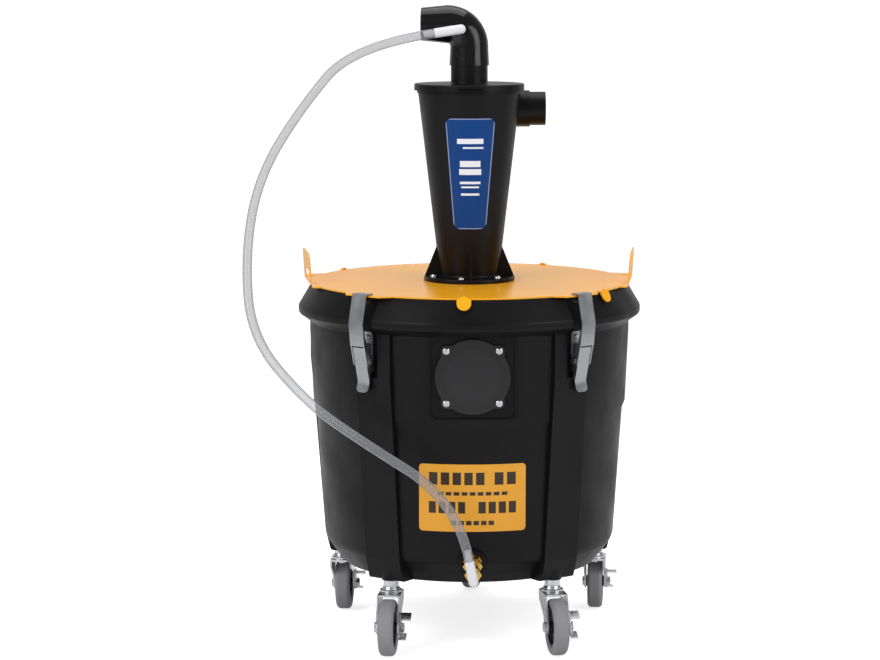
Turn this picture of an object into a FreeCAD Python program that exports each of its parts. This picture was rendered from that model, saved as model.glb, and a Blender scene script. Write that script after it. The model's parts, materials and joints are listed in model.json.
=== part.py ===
import FreeCAD, Part
import math
import os
import Sketcher

# Dust collector: a cyclone separator on the lid of a wheeled collection bin.
# The vertical axis of the bin is Z with the floor at zero. The front of the bin faces -Y,
# and the inlet of the cyclone points along +X.

os.makedirs("parts", exist_ok=True)
doc = FreeCAD.newDocument("dust_collector")
sheet = doc.addObject("Spreadsheet::Sheet", "Sizes")
finished = []


class Size:
    """A number together with the sheet expression that gives it."""

    def __init__(self, number, text=None):
        self.number = float(number)
        self.text = text if text else repr(float(number))

    def __add__(self, other):
        other = sized(other)
        return Size(self.number + other.number, "(%s + %s)" % (self.text, other.text))

    def __sub__(self, other):
        other = sized(other)
        return Size(self.number - other.number, "(%s - %s)" % (self.text, other.text))

    def __mul__(self, other):
        other = sized(other)
        return Size(self.number * other.number, "(%s * %s)" % (self.text, other.text))

    def __truediv__(self, other):
        other = sized(other)
        return Size(self.number / other.number, "(%s / %s)" % (self.text, other.text))

    def __radd__(self, other):
        return sized(other) + self

    def __rsub__(self, other):
        return sized(other) - self

    def __rmul__(self, other):
        return sized(other) * self

    def __neg__(self):
        return Size(-self.number, "(-%s)" % self.text)


def sized(value):
    return value if isinstance(value, Size) else Size(value)


def sine(angle):
    angle = sized(angle)
    return Size(math.sin(math.radians(angle.number)), "sin(%s * 1 deg)" % angle.text)


def cosine(angle):
    angle = sized(angle)
    return Size(math.cos(math.radians(angle.number)), "cos(%s * 1 deg)" % angle.text)


def size(alias, number, meaning):
    """One driving dimension: its row in the sheet holds name, plain number and meaning."""
    size.row += 1
    sheet.set("A%d" % size.row, alias)
    sheet.set("B%d" % size.row, str(number))
    sheet.set("C%d" % size.row, meaning)
    sheet.setAlias("B%d" % size.row, alias)
    return Size(number, "Sizes." + alias)


size.row = 1

# Clearances
gap = size("static_gap", 0.3, "air between neighbouring parts that do not touch")
running = size("running_gap", 0.1, "radial clearance of a turning fit")
film = size("label_film", 0.5, "thickness of a stuck-on label")
glue = size("label_glue", 0.3, "glue layer under a stuck-on label")

# Collection bin
floor_height = size("bin_floor_height", 97, "underside of the bin above the ground")
foot_radius = size("bin_foot_radius", 176, "flat of the bin underside")
heel_radius = size("bin_heel_radius", 187.6, "outer end of the underside round")
heel_rise = size("bin_heel_rise", 14, "height of the underside round")
knee_radius = size("bin_knee_radius", 198.5, "top of the lower chamfer")
knee_rise = size("bin_knee_rise", 29, "height of the lower chamfer above the underside")
base_radius = size("bin_base_radius", 201.5, "wall radius above the lower chamfer")
base_rise = size("bin_base_rise", 38, "where the tapered wall begins")
step_low_radius = size("bin_step_low_radius", 213.3, "wall radius below the moulded step")
step_high_radius = size("bin_step_high_radius", 217.2, "wall radius above the moulded step")
step_height = size("bin_step_height", 312, "lower edge of the moulded step")
step_rise = size("bin_step_rise", 9, "height of the moulded step")
neck_radius = size("bin_neck_radius", 221.5, "wall radius under the rim roll")
neck_height = size("bin_neck_height", 432, "height of the underside of the rim roll")
rim_radius = size("bin_rim_radius", 237, "largest radius of the rim roll")
rim_height = size("bin_rim_height", 447, "height where the rim roll is widest")
lip_radius = size("bin_lip_radius", 219.5, "outer radius of the lip")
lip_width = size("bin_lip_width", 5, "width of the lip")
lip_height = size("bin_lip_height", 482, "top of the bin lip")
wall = size("bin_wall", 4, "wall thickness of the bin")
pillar_width = size("pillar_width", 56, "width of a moulded pillar")
pillar_turn = size("pillar_turn", 1, "how far a front pillar stands outwards of its caster, in degrees")
pillar_stand = size("pillar_stand", 6, "how far a pillar stands out of the tapered wall")
pillar_top_radius = size("pillar_top_radius", 225, "pillar face at the latch ledge")
ledge_height = size("latch_ledge_height", 375, "ledge under each latch recess")
recess_radius = size("latch_recess_radius", 219, "flat floor of a latch recess")
recess_width = size("latch_recess_width", 39, "width of a latch recess")

# Window in the front of the bin
window_height = size("window_height", 382, "centre of the window above the ground")
pad_side = size("window_pad_side", 112, "side of the flat recess around the window")
pad_plane = size("window_pad_plane", 213, "distance of the flat recess from the axis")
pad_depth = size("window_pad_depth", 5, "wall thickness behind the flat recess")
pane_radius = size("window_pane_radius", 50, "radius of the round part of the pane")
pane_ear = size("window_ear_half", 42, "half side of the square that carries the screws")
pane_ear_round = size("window_ear_round", 7, "corner round of the pane")
pane_thickness = size("window_pane_thickness", 3, "thickness of the pane")
seal_thickness = size("window_seal_thickness", 1.5, "thickness of the seal behind the pane")
sight_radius = size("window_sight_radius", 36.5, "radius of the clear opening")
screw_spacing = size("window_screw_spacing", 70, "distance between window screws")
screw_shank = size("screw_shank_radius", 2, "shank radius of the small screws")
screw_head = size("screw_head_radius", 4.7, "head radius of the small screws")
screw_head_height = size("screw_head_height", 3, "head height of the small screws")
nut_radius = size("small_nut_radius", 3.9, "corner radius of the small nuts")
nut_height = size("small_nut_height", 3.2, "height of the small nuts")

# Bin label
label_width = size("bin_label_width", 142, "width of the label across the front")
label_height = size("bin_label_height", 92, "height of the label")
label_base = size("bin_label_base", 172, "lower edge of the label above the ground")
label_round = size("bin_label_round", 5, "corner round of the label")

# Drain port and its fittings
port_height = size("port_height", 129, "drain port above the ground at its boss")
port_tilt = size("port_tilt", 14, "downward tilt of the drain port")
port_face = size("port_boss_face", 204, "distance of the flat boss from the axis")
port_boss_radius = size("port_boss_radius", 19, "radius of the flat boss")
port_thread = size("port_thread_radius", 8, "radius of the threaded bulkhead")
port_bore = size("port_bore_radius", 4.5, "bore of the bulkhead")
port_hex = size("port_hex_flats", 23, "width across the flats of the hexagons")
port_length = size("port_length", 38, "how far the bulkhead stands out of its boss")

# Lid
lid_radius = size("lid_radius", 219.6, "radius of the lid sheet")
sheet_thickness = size("lid_thickness", 2, "thickness of the lid sheet")
lid_underside = size("lid_underside", 485, "underside of the lid sheet above the ground")
lid_hole = size("lid_hole_radius", 38, "dust opening in the lid")
ear_reach = size("lid_ear_reach", 233, "outer edge of a latch ear from the axis")
ear_tip = size("lid_ear_tip_half", 28, "half width of a latch ear at its tip")
ear_root = size("lid_ear_root_half", 43, "half width of a latch ear at its root")
handle_length = size("handle_length", 100, "length of a bent-up handle")
handle_rise = size("handle_rise", 43, "height of a handle above the lid")
handle_side = size("handle_side", 223.5, "distance of a handle from the axis")
handle_skew = size("handle_skew", 7, "turn of a handle in plan")
handle_lean = size("handle_lean", 4, "outward lean of a handle")
tongue_width = size("tongue_width", 19, "width of a locating tongue")
tongue_length = size("tongue_length", 15.5, "length of the sloped part of a tongue")
tongue_slope = size("tongue_slope", 27, "slope of a tongue from the vertical")

# Cyclone
flange_radius = size("flange_radius", 63, "radius of the cyclone flange")
flange_thickness = size("flange_thickness", 5, "thickness of the cyclone flange")
seat_thickness = size("cyclone_seat_thickness", 1, "gasket between lid and flange")
cone_low_radius = size("cone_low_radius", 41, "outer radius of the cone at the flange")
cone_high_radius = size("cone_high_radius", 70.5, "outer radius of the cone under the cap")
cone_rise = size("cone_rise", 262, "height of the cone body above the flange underside")
cyclone_wall = size("cyclone_wall", 3, "wall thickness of the cyclone")
collar_rise = size("cone_collar_rise", 9, "height of the straight collar under the cap")
gusset_rise = size("gusset_rise", 42, "height of a gusset on the flange")
gusset_width = size("gusset_width", 4, "thickness of a gusset")
flange_bolt_circle = size("flange_bolt_circle", 104, "pitch diameter of the flange screws")
inlet_offset = size("inlet_offset", 45, "offset of the tangential inlet behind the axis")
inlet_height = size("inlet_height", 722, "axis of the inlet above the ground")
inlet_radius = size("inlet_radius", 25.4, "outer radius of the inlet tube")
spigot_radius = size("inlet_spigot_radius", 23.4, "outer radius of the inlet spigot")
inlet_bore = size("inlet_bore_radius", 20.6, "bore radius of the inlet")
inlet_shoulder = size("inlet_shoulder", 85, "where the inlet steps down to its spigot")
inlet_end = size("inlet_end", 107, "free end of the inlet spigot")
cap_radius = size("cap_radius", 76, "outer radius of the cap")
cap_thickness = size("cap_thickness", 4, "thickness of the cap disc")
skirt_height = size("cap_skirt", 5, "depth of the cap skirt")
outlet_radius = size("outlet_radius", 25.4, "outer radius of the outlet tube")
outlet_wall = size("outlet_wall", 3, "wall of the outlet tube")
finder_depth = size("finder_depth", 66, "depth of the outlet tube inside the cyclone")
outlet_rise = size("outlet_rise", 46, "height of the outlet tube above the cap")
latch_slot_width = size("cap_slot_width", 34, "width of the snap slot in the cap skirt")

# Outlet elbow
elbow_base = size("elbow_base", 784, "lower edge of the elbow socket above the ground")
socket_radius = size("elbow_socket_radius", 27.4, "outer radius of the elbow socket")
socket_rise = size("elbow_socket_rise", 24, "height of the elbow socket")
bend_radius = size("elbow_bend_radius", 30, "radius of the bend centreline")
bend_tube = size("elbow_tube_radius", 26.2, "outer radius of the bend")
mouth_radius = size("elbow_mouth_radius", 22.6, "outer radius of the elbow mouth")
mouth_reach = size("elbow_mouth_reach", 66, "distance of the elbow mouth from the axis")
elbow_bore = size("elbow_bore_radius", 19.6, "bore radius of the elbow")
elbow_turn = size("elbow_turn", 4, "turn of the elbow away from the side direction")

# Clear hose
hose_radius = size("hose_radius", 6.5, "outer radius of the hose")
hose_bore = size("hose_bore_radius", 4.9, "bore radius of the hose")
barb_radius = size("barb_radius", 4.8, "radius of a hose barb inside the hose")
barb_body = size("barb_body_radius", 6.4, "outer radius of a moulded elbow fitting")
barb_length = size("barb_length", 15, "length of a barb inside the hose")

# Latches
latch_angle = size("latch_angle", 39, "direction of the front latches from the front")
latch_back_angle = size("latch_back_angle", 180, "direction of the rear latch from the front")
strap_width = size("strap_width", 24, "width of the latch strap")
strap_sheet = size("strap_sheet", 1.8, "sheet thickness of the latch strap")
lever_width = size("lever_width", 20, "width of the latch lever")
lever_sheet = size("lever_sheet", 1.8, "sheet thickness of the latch lever")
base_width = size("latch_base_width", 18, "width of the latch base plate")
base_sheet = size("latch_base_sheet", 2, "sheet thickness of the latch base")
fulcrum_reach = size("fulcrum_reach", 232.5, "distance of the lever pivot from the axis")
fulcrum_height = size("fulcrum_height", 415, "height of the lever pivot")
knuckle_inset = size("knuckle_inset", 2, "how far the strap pivot lies inwards of the lever pivot")
knuckle_reach = fulcrum_reach - knuckle_inset
knuckle_height = size("knuckle_height", 399, "height of the strap pivot")
lip_round = size("lever_lip_round", 6, "corner round of the lip of the lever")
pin_radius = size("latch_pin_radius", 2, "radius of the latch pins")

# Casters
caster_circle = size("caster_circle", 190, "distance of the caster stems from the axis")
wheel_radius = size("wheel_radius", 38.1, "radius of a caster wheel")
wheel_width = size("wheel_width", 21, "width of a caster wheel")
shoulder = size("tyre_shoulder", 5.5, "round of the tyre shoulders")
trail = size("caster_trail", 33, "offset of the axle from the stem")
hub_radius = size("hub_radius", 27, "radius of the wheel hub")
boss_radius = size("hub_boss_radius", 8, "radius of the hub boss")
axle_radius = size("axle_radius", 4, "radius of the axle")
fork_inner = size("fork_inner_half", 13, "half of the inner width of the fork")
fork_sheet = size("fork_sheet", 2.5, "sheet thickness of the fork")
fork_top = size("fork_top", 78.2, "underside of the fork crown above the ground")
race_radius = size("race_radius", 15, "radius of the swivel raceway")
stem_radius = size("stem_radius", 5.5, "radius of the caster stem")
stem_collar = size("stem_collar_radius", 10.5, "radius of the collar under the bin")
socket_depth = size("stem_socket_depth", 27, "depth of the stem socket in the bin")
brake_sheet = size("brake_sheet", 2, "sheet thickness of the brake lever")


def origin_plane(body, role):
    return [entry for entry in body.Origin.OriginFeatures if entry.Role == role][0]


def frame_sketch(body, plane, middle=0, spin=0, at=None, tilt=0):
    """A sketch on an origin plane, moved along its normal or to a point, turned about Z and tilted."""
    sketch = body.newObject("Sketcher::SketchObject", body.Name + "_outline")
    sketch.AttachmentSupport = [(origin_plane(body, plane), "")]
    sketch.MapMode = "FlatFace"
    upright = FreeCAD.Vector(0, 0, 1) if plane == "XY_Plane" else FreeCAD.Vector(0, 1, 0)
    turned = FreeCAD.Rotation(upright, sized(spin).number)
    leaned = FreeCAD.Rotation(FreeCAD.Vector(1, 0, 0), sized(tilt).number)
    place = at if at else normal_offset(plane, sized(middle), sized(spin))
    spot = FreeCAD.Vector(*[sized(entry).number for entry in place])
    sketch.AttachmentOffset = FreeCAD.Placement(spot, turned.multiply(leaned))
    for axis, entry in zip("xyz", place):
        sketch.setExpression("AttachmentOffset.Base." + axis, sized(entry).text)
    if sized(spin).number and not sized(tilt).number:
        sketch.setExpression("AttachmentOffset.Rotation.Angle", sized(spin).text + " * 1 deg")
    return sketch


def normal_offset(plane, middle, spin):
    """The offset of a sketch that stands middle away from the axis along its own normal."""
    if plane == "XY_Plane":
        return (0, 0, middle)
    return (middle * sine(spin), 0, middle * cosine(spin))


def pin_point(sketch, element, end, x, y):
    for axis, entry in (("X", sized(x)), ("Y", sized(y))):
        if entry.number == 0 and not entry.text.startswith("Sizes"):
            line = -2 if axis == "X" else -1
            sketch.addConstraint(Sketcher.Constraint("PointOnObject", element, end, line))
            continue
        spot = sketch.addConstraint(Sketcher.Constraint("Distance" + axis, element, end, entry.number))
        sketch.setExpression("Constraints[%d]" % spot, entry.text)


def draw_circle(sketch, x, y, radius):
    radius = sized(radius)
    centre = FreeCAD.Vector(sized(x).number, sized(y).number, 0)
    ring = sketch.addGeometry(Part.Circle(centre, FreeCAD.Vector(0, 0, 1), radius.number))
    spot = sketch.addConstraint(Sketcher.Constraint("Radius", ring, radius.number))
    sketch.setExpression("Constraints[%d]" % spot, radius.text)
    pin_point(sketch, ring, 3, x, y)


def corner_cut(before, corner, after, radius):
    """Both tangent points, the centre and the middle of a corner round."""
    back = before - corner
    ahead = after - corner
    back.normalize()
    ahead.normalize()
    half = back.getAngle(ahead) / 2
    reach = radius / math.tan(half)
    middle = back + ahead
    middle.normalize()
    centre = corner + middle * (radius / math.sin(half))
    return corner + back * reach, centre - middle * radius, corner + ahead * reach


def draw_outline(sketch, outline):
    """A closed outline of corners (x, y) or (x, y, round)."""
    corners = [FreeCAD.Vector(sized(item[0]).number, sized(item[1]).number, 0) for item in outline]
    count = len(outline)
    starts = list(corners)
    ends = list(corners)
    bends = {}
    for place, item in enumerate(outline):
        if len(item) > 2:
            radius = sized(item[2]).number
            cut = corner_cut(corners[place - 1], corners[place], corners[(place + 1) % count], radius)
            ends[place], starts[place] = cut[0], cut[2]
            bends[place] = Part.Arc(*cut)
    lines = []
    for place in range(count):
        stop = ends[(place + 1) % count]
        lines.append(sketch.addGeometry(Part.LineSegment(starts[place], stop)))
    for place, item in enumerate(outline):
        before = lines[place - 1]
        after = lines[place]
        if place not in bends:
            sketch.addConstraint(Sketcher.Constraint("Coincident", before, 2, after, 1))
            pin_point(sketch, after, 1, item[0], item[1])
            continue
        round_off(sketch, before, after, bends[place], corners[place], item)


def round_off(sketch, before, after, bend, corner, item):
    arc = sketch.addGeometry(bend)
    start_gap = (sketch.getPoint(arc, 1) - sketch.getPoint(before, 2)).Length
    first, last = (1, 2) if start_gap < 1e-6 else (2, 1)
    sketch.addConstraint(Sketcher.Constraint("Tangent", before, 2, arc, first))
    sketch.addConstraint(Sketcher.Constraint("Tangent", arc, last, after, 1))
    spot = sketch.addConstraint(Sketcher.Constraint("Radius", arc, sized(item[2]).number))
    sketch.setExpression("Constraints[%d]" % spot, sized(item[2]).text)
    mark = sketch.addGeometry(Part.Point(corner), True)
    sketch.addConstraint(Sketcher.Constraint("PointOnObject", mark, 1, before))
    sketch.addConstraint(Sketcher.Constraint("PointOnObject", mark, 1, after))
    pin_point(sketch, mark, 1, item[0], item[1])


def new_body(name):
    body = doc.addObject("PartDesign::Body", name)
    body.AllowCompound = True
    return body


def block(body, plane, outlines, width, middle=0, spin=0, at=None, tilt=0, cut=False):
    """Adds or removes a prism centred on its sketch; an outline is corners or a (x, y, r) circle."""
    sketch = frame_sketch(body, plane, middle, spin, at, tilt)
    for outline in outlines:
        if isinstance(outline, tuple):
            draw_circle(sketch, *outline)
        else:
            draw_outline(sketch, outline)
    kind = "PartDesign::Pocket" if cut else "PartDesign::Pad"
    feature = body.newObject(kind, body.Name + ("_cut" if cut else "_pad"))
    feature.Profile = sketch
    feature.SideType = "Symmetric"
    feature.Length = sized(width).number
    feature.setExpression("Length", sized(width).text)
    body.Tip = feature
    return feature


def turned(body, outline, cut=False):
    """Adds or removes a solid of revolution about Z; the outline holds (radius, height) corners."""
    sketch = frame_sketch(body, "XZ_Plane")
    draw_outline(sketch, outline)
    kind = "PartDesign::Groove" if cut else "PartDesign::Revolution"
    feature = body.newObject(kind, body.Name + ("_groove" if cut else "_turn"))
    feature.Profile = sketch
    feature.ReferenceAxis = (sketch, ["V_Axis"])
    feature.Angle = 360
    body.Tip = feature
    return feature


def radial(points):
    """Corners given as (distance from the axis, height) for a sketch seen from the side."""
    return [(-sized(item[0]),) + tuple(item[1:]) for item in points]


def box_outline(half_x, low, high, corner=None):
    tail = (corner,) if corner is not None else ()
    half_x = sized(half_x)
    return [(-half_x, low) + tail, (half_x, low) + tail, (half_x, high) + tail, (-half_x, high) + tail]


def hexagon(flats, x=0, y=0):
    corner = sized(flats) / math.sqrt(3)
    points = []
    for turn in range(6):
        angle = 60 * turn
        points.append((sized(x) + corner * math.cos(math.radians(angle)),
                       sized(y) + corner * math.sin(math.radians(angle))))
    return points


def rod(name, radius, length, at=(0, 0, 0), axis=(0, 0, 1), spin=0):
    """A cylinder from a point along a direction, carried round the Z axis by spin."""
    shape = doc.addObject("Part::Cylinder", name)
    shape.setExpression("Radius", sized(radius).text)
    shape.setExpression("Height", sized(length).text)
    put(shape, at, axis, spin)
    return shape


def taper(name, low, high, length, at=(0, 0, 0), axis=(0, 0, 1), spin=0):
    shape = doc.addObject("Part::Cone", name)
    shape.setExpression("Radius1", sized(low).text)
    shape.setExpression("Radius2", sized(high).text)
    shape.setExpression("Height", sized(length).text)
    put(shape, at, axis, spin)
    return shape


def put(shape, at, axis, spin):
    rotation = FreeCAD.Rotation(FreeCAD.Vector(0, 0, 1), FreeCAD.Vector(*axis))
    rotation = FreeCAD.Rotation(FreeCAD.Vector(0, 0, 1), sized(spin).number).multiply(rotation)
    shape.Placement = FreeCAD.Placement(FreeCAD.Vector(0, 0, 0), rotation)
    x, y, z = [sized(entry) for entry in at]
    shape.setExpression("Placement.Base.x", (x * cosine(spin) - y * sine(spin)).text)
    shape.setExpression("Placement.Base.y", (x * sine(spin) + y * cosine(spin)).text)
    shape.setExpression("Placement.Base.z", z.text)


def joined(name, parts):
    whole = doc.addObject("Part::MultiFuse", name)
    whole.Shapes = parts
    return whole


def gathered(name, parts):
    """Several solids kept apart in one sub-part."""
    whole = doc.addObject("Part::Compound", name)
    whole.Links = parts
    return whole


def less(name, base, tool):
    whole = doc.addObject("Part::Cut", name)
    whole.Base = base
    whole.Tool = tool
    return whole


def shared(name, parts):
    whole = doc.addObject("Part::MultiCommon", name)
    whole.Shapes = parts
    return whole


def finish(shape, label):
    shape.Label = label
    finished.append(shape)
    return shape


def carry(body, x, y, z, spin):
    """Puts a body at its own place, turned about the vertical."""
    body.Placement = FreeCAD.Placement(
        FreeCAD.Vector(0, 0, 0), FreeCAD.Rotation(FreeCAD.Vector(0, 0, 1), sized(spin).number))
    body.setExpression("Placement.Base.x", sized(x).text)
    body.setExpression("Placement.Base.y", sized(y).text)
    body.setExpression("Placement.Base.z", sized(z).text)


# Directions of the five casters, measured from the front towards +X, with the yaw of each wheel
# and the side that its brake stands on.
caster_plan = {
    "front_left": (-35, -7, 1),
    "front_right": (35, 9, 1),
    "rear_right": (108, 174, -1),
    "rear_centre": (180, 165, -1),
    "rear_left": (-108, 175, -1),
}
caster_spin = {}
caster_yaw = {}
for corner_name, (direction, yaw, brake_side) in caster_plan.items():
    caster_spin[corner_name] = size("stem_direction_" + corner_name, direction, "direction of the stem")
    caster_yaw[corner_name] = size("caster_yaw_" + corner_name, yaw, "direction the wheel trails in")

latch_plan = {
    "front_left": -latch_angle,
    "front_right": latch_angle,
    "rear": latch_back_angle,
}
window_corners = [(side, level) for side in (-1, 1) for level in (-1, 1)]
screw_angles = [-73, -13, 47, 107, 167, 227]


def bin_shell():
    body = new_body("BinShell")
    turned(body, [
        (0, floor_height),
        (foot_radius, floor_height),
        (heel_radius, floor_height + heel_rise, 14),
        (knee_radius, floor_height + knee_rise, 10),
        (base_radius, floor_height + base_rise),
        (step_low_radius, step_height),
        (step_high_radius, step_height + step_rise),
        (neck_radius, neck_height - 12),
        (neck_radius, neck_height + 2, 4),
        (rim_radius, rim_height - 2, 4),
        (rim_radius, rim_height + 7, 6),
        (lip_radius + 2, lip_height - 2),
        (lip_radius, lip_height),
        (0, lip_height),
    ])
    pillars = dict(caster_spin)
    pillars["front_left"] = pillars["front_left"] - pillar_turn
    pillars["front_right"] = pillars["front_right"] + pillar_turn
    for spin in pillars.values():
        block(body, "YZ_Plane", [radial([
            (caster_circle - 45, floor_height),
            (caster_circle + 7, floor_height, 5),
            (knee_radius + pillar_stand, floor_height + knee_rise, 12),
            (step_low_radius + pillar_stand, step_height),
            (pillar_top_radius, ledge_height),
            (pillar_top_radius, neck_height + 4),
            (caster_circle - 45, neck_height + 4),
        ])], pillar_width, spin=spin)
    # The inside of the bin, with a thicker wall behind the rim roll.
    turned(body, [
        (0, floor_height + wall + 2),
        (foot_radius - 2, floor_height + wall + 2, 3),
        (knee_radius - wall - 1, floor_height + knee_rise, 10),
        (base_radius - wall, floor_height + base_rise),
        (step_low_radius - wall, step_height),
        (lip_radius - lip_width - 2, step_height + step_rise),
        (lip_radius - lip_width, ledge_height),
        (lip_radius - lip_width, lip_height + 1),
        (0, lip_height + 1),
    ], cut=True)
    for spin in latch_plan.values():
        block(body, "YZ_Plane", [radial([
            (recess_radius, ledge_height, 3),
            (rim_radius + 10, ledge_height + 6),
            (rim_radius + 10, lip_height + 1),
            (recess_radius, lip_height + 1),
        ])], recess_width, spin=spin, cut=True)
    # Bosses around the caster stems, inside the floor.
    for spin in caster_spin.values():
        block(body, "XY_Plane", [
            (caster_circle * sine(spin), -caster_circle * cosine(spin), stem_radius + 7),
        ], socket_depth + 4, middle=floor_height + (socket_depth + 4) / 2)
    for spin in caster_spin.values():
        block(body, "XY_Plane", [
            (caster_circle * sine(spin), -caster_circle * cosine(spin), stem_radius),
        ], socket_depth * 2, middle=floor_height, cut=True)
    window_seat(body)
    port_seat(body)
    return finish(body, "bin_shell")


def window_seat(body):
    pad_inside = pad_plane - pad_depth
    low = window_height - pad_side / 2
    high = window_height + pad_side / 2
    block(body, "XZ_Plane", [box_outline(pad_side / 2 + 4, low - 4, high + 4, 12)],
          8, middle=pad_inside + 4)
    block(body, "XZ_Plane", [box_outline(pad_side / 2, low, high, 10)],
          30, middle=pad_plane + 15, cut=True)
    block(body, "XZ_Plane", [(0, window_height, sight_radius)], 60, middle=pad_plane, cut=True)
    block(body, "XZ_Plane", [
        (screw_spacing * side / 2, window_height + screw_spacing * level / 2, screw_shank + 0.2)
        for side, level in window_corners
    ], 60, middle=pad_plane, cut=True)


def port_seat(body):
    block(body, "XZ_Plane", [(0, 0, port_boss_radius)], 16, at=port_at(-8), tilt=port_tilt)
    block(body, "XZ_Plane", [(0, 0, port_thread + 0.2)], 60, at=port_at(0), tilt=port_tilt, cut=True)


def pane_outlines():
    square = box_outline(pane_ear, window_height - pane_ear, window_height + pane_ear, pane_ear_round)
    return square, (0, window_height, pane_radius)


def window_screw_holes(body, middle):
    block(body, "XZ_Plane", [
        (screw_spacing * side / 2, window_height + screw_spacing * level / 2, screw_shank + 0.2)
        for side, level in window_corners
    ], 20, middle=middle, cut=True)


def window_pane():
    face = pad_plane + seal_thickness
    square, disc = pane_outlines()
    body = new_body("WindowPane")
    block(body, "XZ_Plane", [square], pane_thickness, middle=face + pane_thickness / 2)
    block(body, "XZ_Plane", [disc], pane_thickness, middle=face + pane_thickness / 2)
    window_screw_holes(body, face)
    return finish(body, "window_pane")


def window_seal():
    square, disc = pane_outlines()
    body = new_body("WindowSeal")
    block(body, "XZ_Plane", [square], seal_thickness, middle=pad_plane + seal_thickness / 2)
    block(body, "XZ_Plane", [disc], seal_thickness, middle=pad_plane + seal_thickness / 2)
    block(body, "XZ_Plane", [(0, window_height, sight_radius)], 20, middle=pad_plane, cut=True)
    window_screw_holes(body, pad_plane)
    return finish(body, "window_seal")


def pan_screw(name, head, head_height, shank, length, at, axis, spin=0):
    """A pan-head screw: the head sits on the given point and the shank runs along the axis."""
    x, y, z = at
    backwards = [-entry for entry in axis]
    low = taper(name + "_head", head, head * 0.93, head_height * 0.6, at, backwards, spin)
    lift = [sized(entry) - head_height * 0.6 * step for entry, step in zip(at, axis)]
    dome = taper(name + "_dome", head * 0.93, head * 0.6, head_height * 0.4, lift, backwards, spin)
    pin = rod(name + "_shank", shank, length, at, axis, spin)
    return joined(name, [low, dome, pin])


def window_fixings():
    front = pad_plane + seal_thickness + pane_thickness
    back = pad_plane - pad_depth
    screws = []
    nuts = new_body("WindowNuts")
    for number, (side, level) in enumerate(window_corners):
        across = screw_spacing * side / 2
        height = window_height + screw_spacing * level / 2
        screws.append(pan_screw("WindowScrew%d" % number, screw_head, screw_head_height, screw_shank,
                                front - back + nut_height + 1, (across, -front, height), (0, 1, 0)))
        block(nuts, "XZ_Plane", [hexagon(nut_radius * math.sqrt(3), across, height),
                                 (across, height, screw_shank)],
              nut_height, middle=back - nut_height / 2)
    finish(gathered("WindowScrews", screws), "window_screws")
    finish(nuts, "window_nuts")


def bin_label():
    """A thin band that follows the tapered wall, trimmed to a rounded rectangle."""
    low = floor_height + base_rise
    rise = step_height - low
    inner = taper("LabelInner", base_radius + glue, step_low_radius + glue, rise, (0, 0, low))
    outer = taper("LabelOuter", base_radius + glue + film, step_low_radius + glue + film, rise, (0, 0, low))
    band = less("LabelBand", outer, inner)
    trim = new_body("LabelTrim")
    block(trim, "XZ_Plane", [box_outline(label_width / 2, label_base, label_base + label_height, label_round)],
          120, middle=base_radius)
    return finish(shared("BinLabel", [band, trim]), "bin_label")


def port_bulkhead():
    """A threaded sleeve with a hexagon and a washer outside, clamped by a nut inside the bin."""
    body = new_body("PortBulkhead")
    whole = port_length + 26
    for outline, width, distance in (
            ((0, 0, port_thread), whole, port_length - whole / 2),
            ((0, 0, port_thread + 4.6), 1.5, 0.75),
            (hexagon(port_hex), 9, 6),
            (hexagon(port_hex - 3), 8, port_length - 6)):
        block(body, "XZ_Plane", [outline], width, at=port_at(distance), tilt=port_tilt)
    block(body, "XZ_Plane", [(0, 0, port_bore)], 160, at=port_at(0), tilt=port_tilt, cut=True)
    block(body, "XZ_Plane", [(0, 0, 5.5)], 24, at=port_at(port_length), tilt=port_tilt, cut=True)
    finish(body, "port_bulkhead")
    nut = new_body("PortNut")
    block(nut, "XZ_Plane", [hexagon(port_hex), (0, 0, port_thread)], 6, at=port_at(-19), tilt=port_tilt)
    return finish(nut, "port_nut")


def lid_plate():
    body = new_body("LidPlate")
    middle = lid_underside + sheet_thickness / 2
    block(body, "XY_Plane", [(0, 0, lid_radius)], sheet_thickness, middle=middle)
    for spin in latch_plan.values():
        block(body, "XY_Plane", [[
            (-ear_root, 20 - lid_radius),
            (-ear_root + 1, 6 - lid_radius),
            (-ear_tip, -ear_reach, 4),
            (ear_tip, -ear_reach, 4),
            (ear_root - 1, 6 - lid_radius),
            (ear_root, 20 - lid_radius),
        ]], sheet_thickness, middle=middle, spin=spin)
    for side in (-1, 1):
        lid_side_ear(body, side, middle)
        lid_handle(body, side)
    for spin in (-3, 53, 150, -127):
        lid_tongue(body, spin)
    block(body, "XY_Plane", [(0, 0, lid_hole)], 20, middle=middle, cut=True)
    flange_holes(body, middle)
    return finish(body, "lid_plate")


def lid_side_ear(body, side, middle):
    """A flat ear beside the lid that carries the handle, with relief holes at the bend ends."""
    block(body, "XY_Plane", [[
        (side * 180, -80),
        (side * 205, -84, 3),
        (side * (handle_side - 8.5), -84, 7),
        (side * (handle_side - 6.5), -handle_length / 2),
        (side * (handle_side + 5.5), handle_length / 2),
        (side * (handle_side + 8), 78, 3),
        (side * 206, 84, 3),
        (side * 180, 84),
    ]], sheet_thickness, middle=middle)
    block(body, "XY_Plane", [
        (side * (handle_side - 13), -handle_length / 2 - 1, 4),
        (side * (handle_side - 2.5), handle_length / 2 + 2, 4),
    ], 20, middle=middle, cut=True)


def lid_handle(body, side):
    spin = (90 - handle_skew) * side
    corner = handle_length / 2
    block(body, "XZ_Plane", [[
        (-corner, 0),
        (corner, 0),
        (corner, handle_rise, 13),
        (-corner, handle_rise, 13),
    ], [
        (-corner + 18, 4, 5),
        (corner - 18, 4, 5),
        (corner - 18, 18, 5),
        (-corner + 18, 18, 5),
    ]], sheet_thickness, spin=spin, tilt=handle_lean,
          at=(side * handle_side, lid_underside + 0.5, 0))


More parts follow.
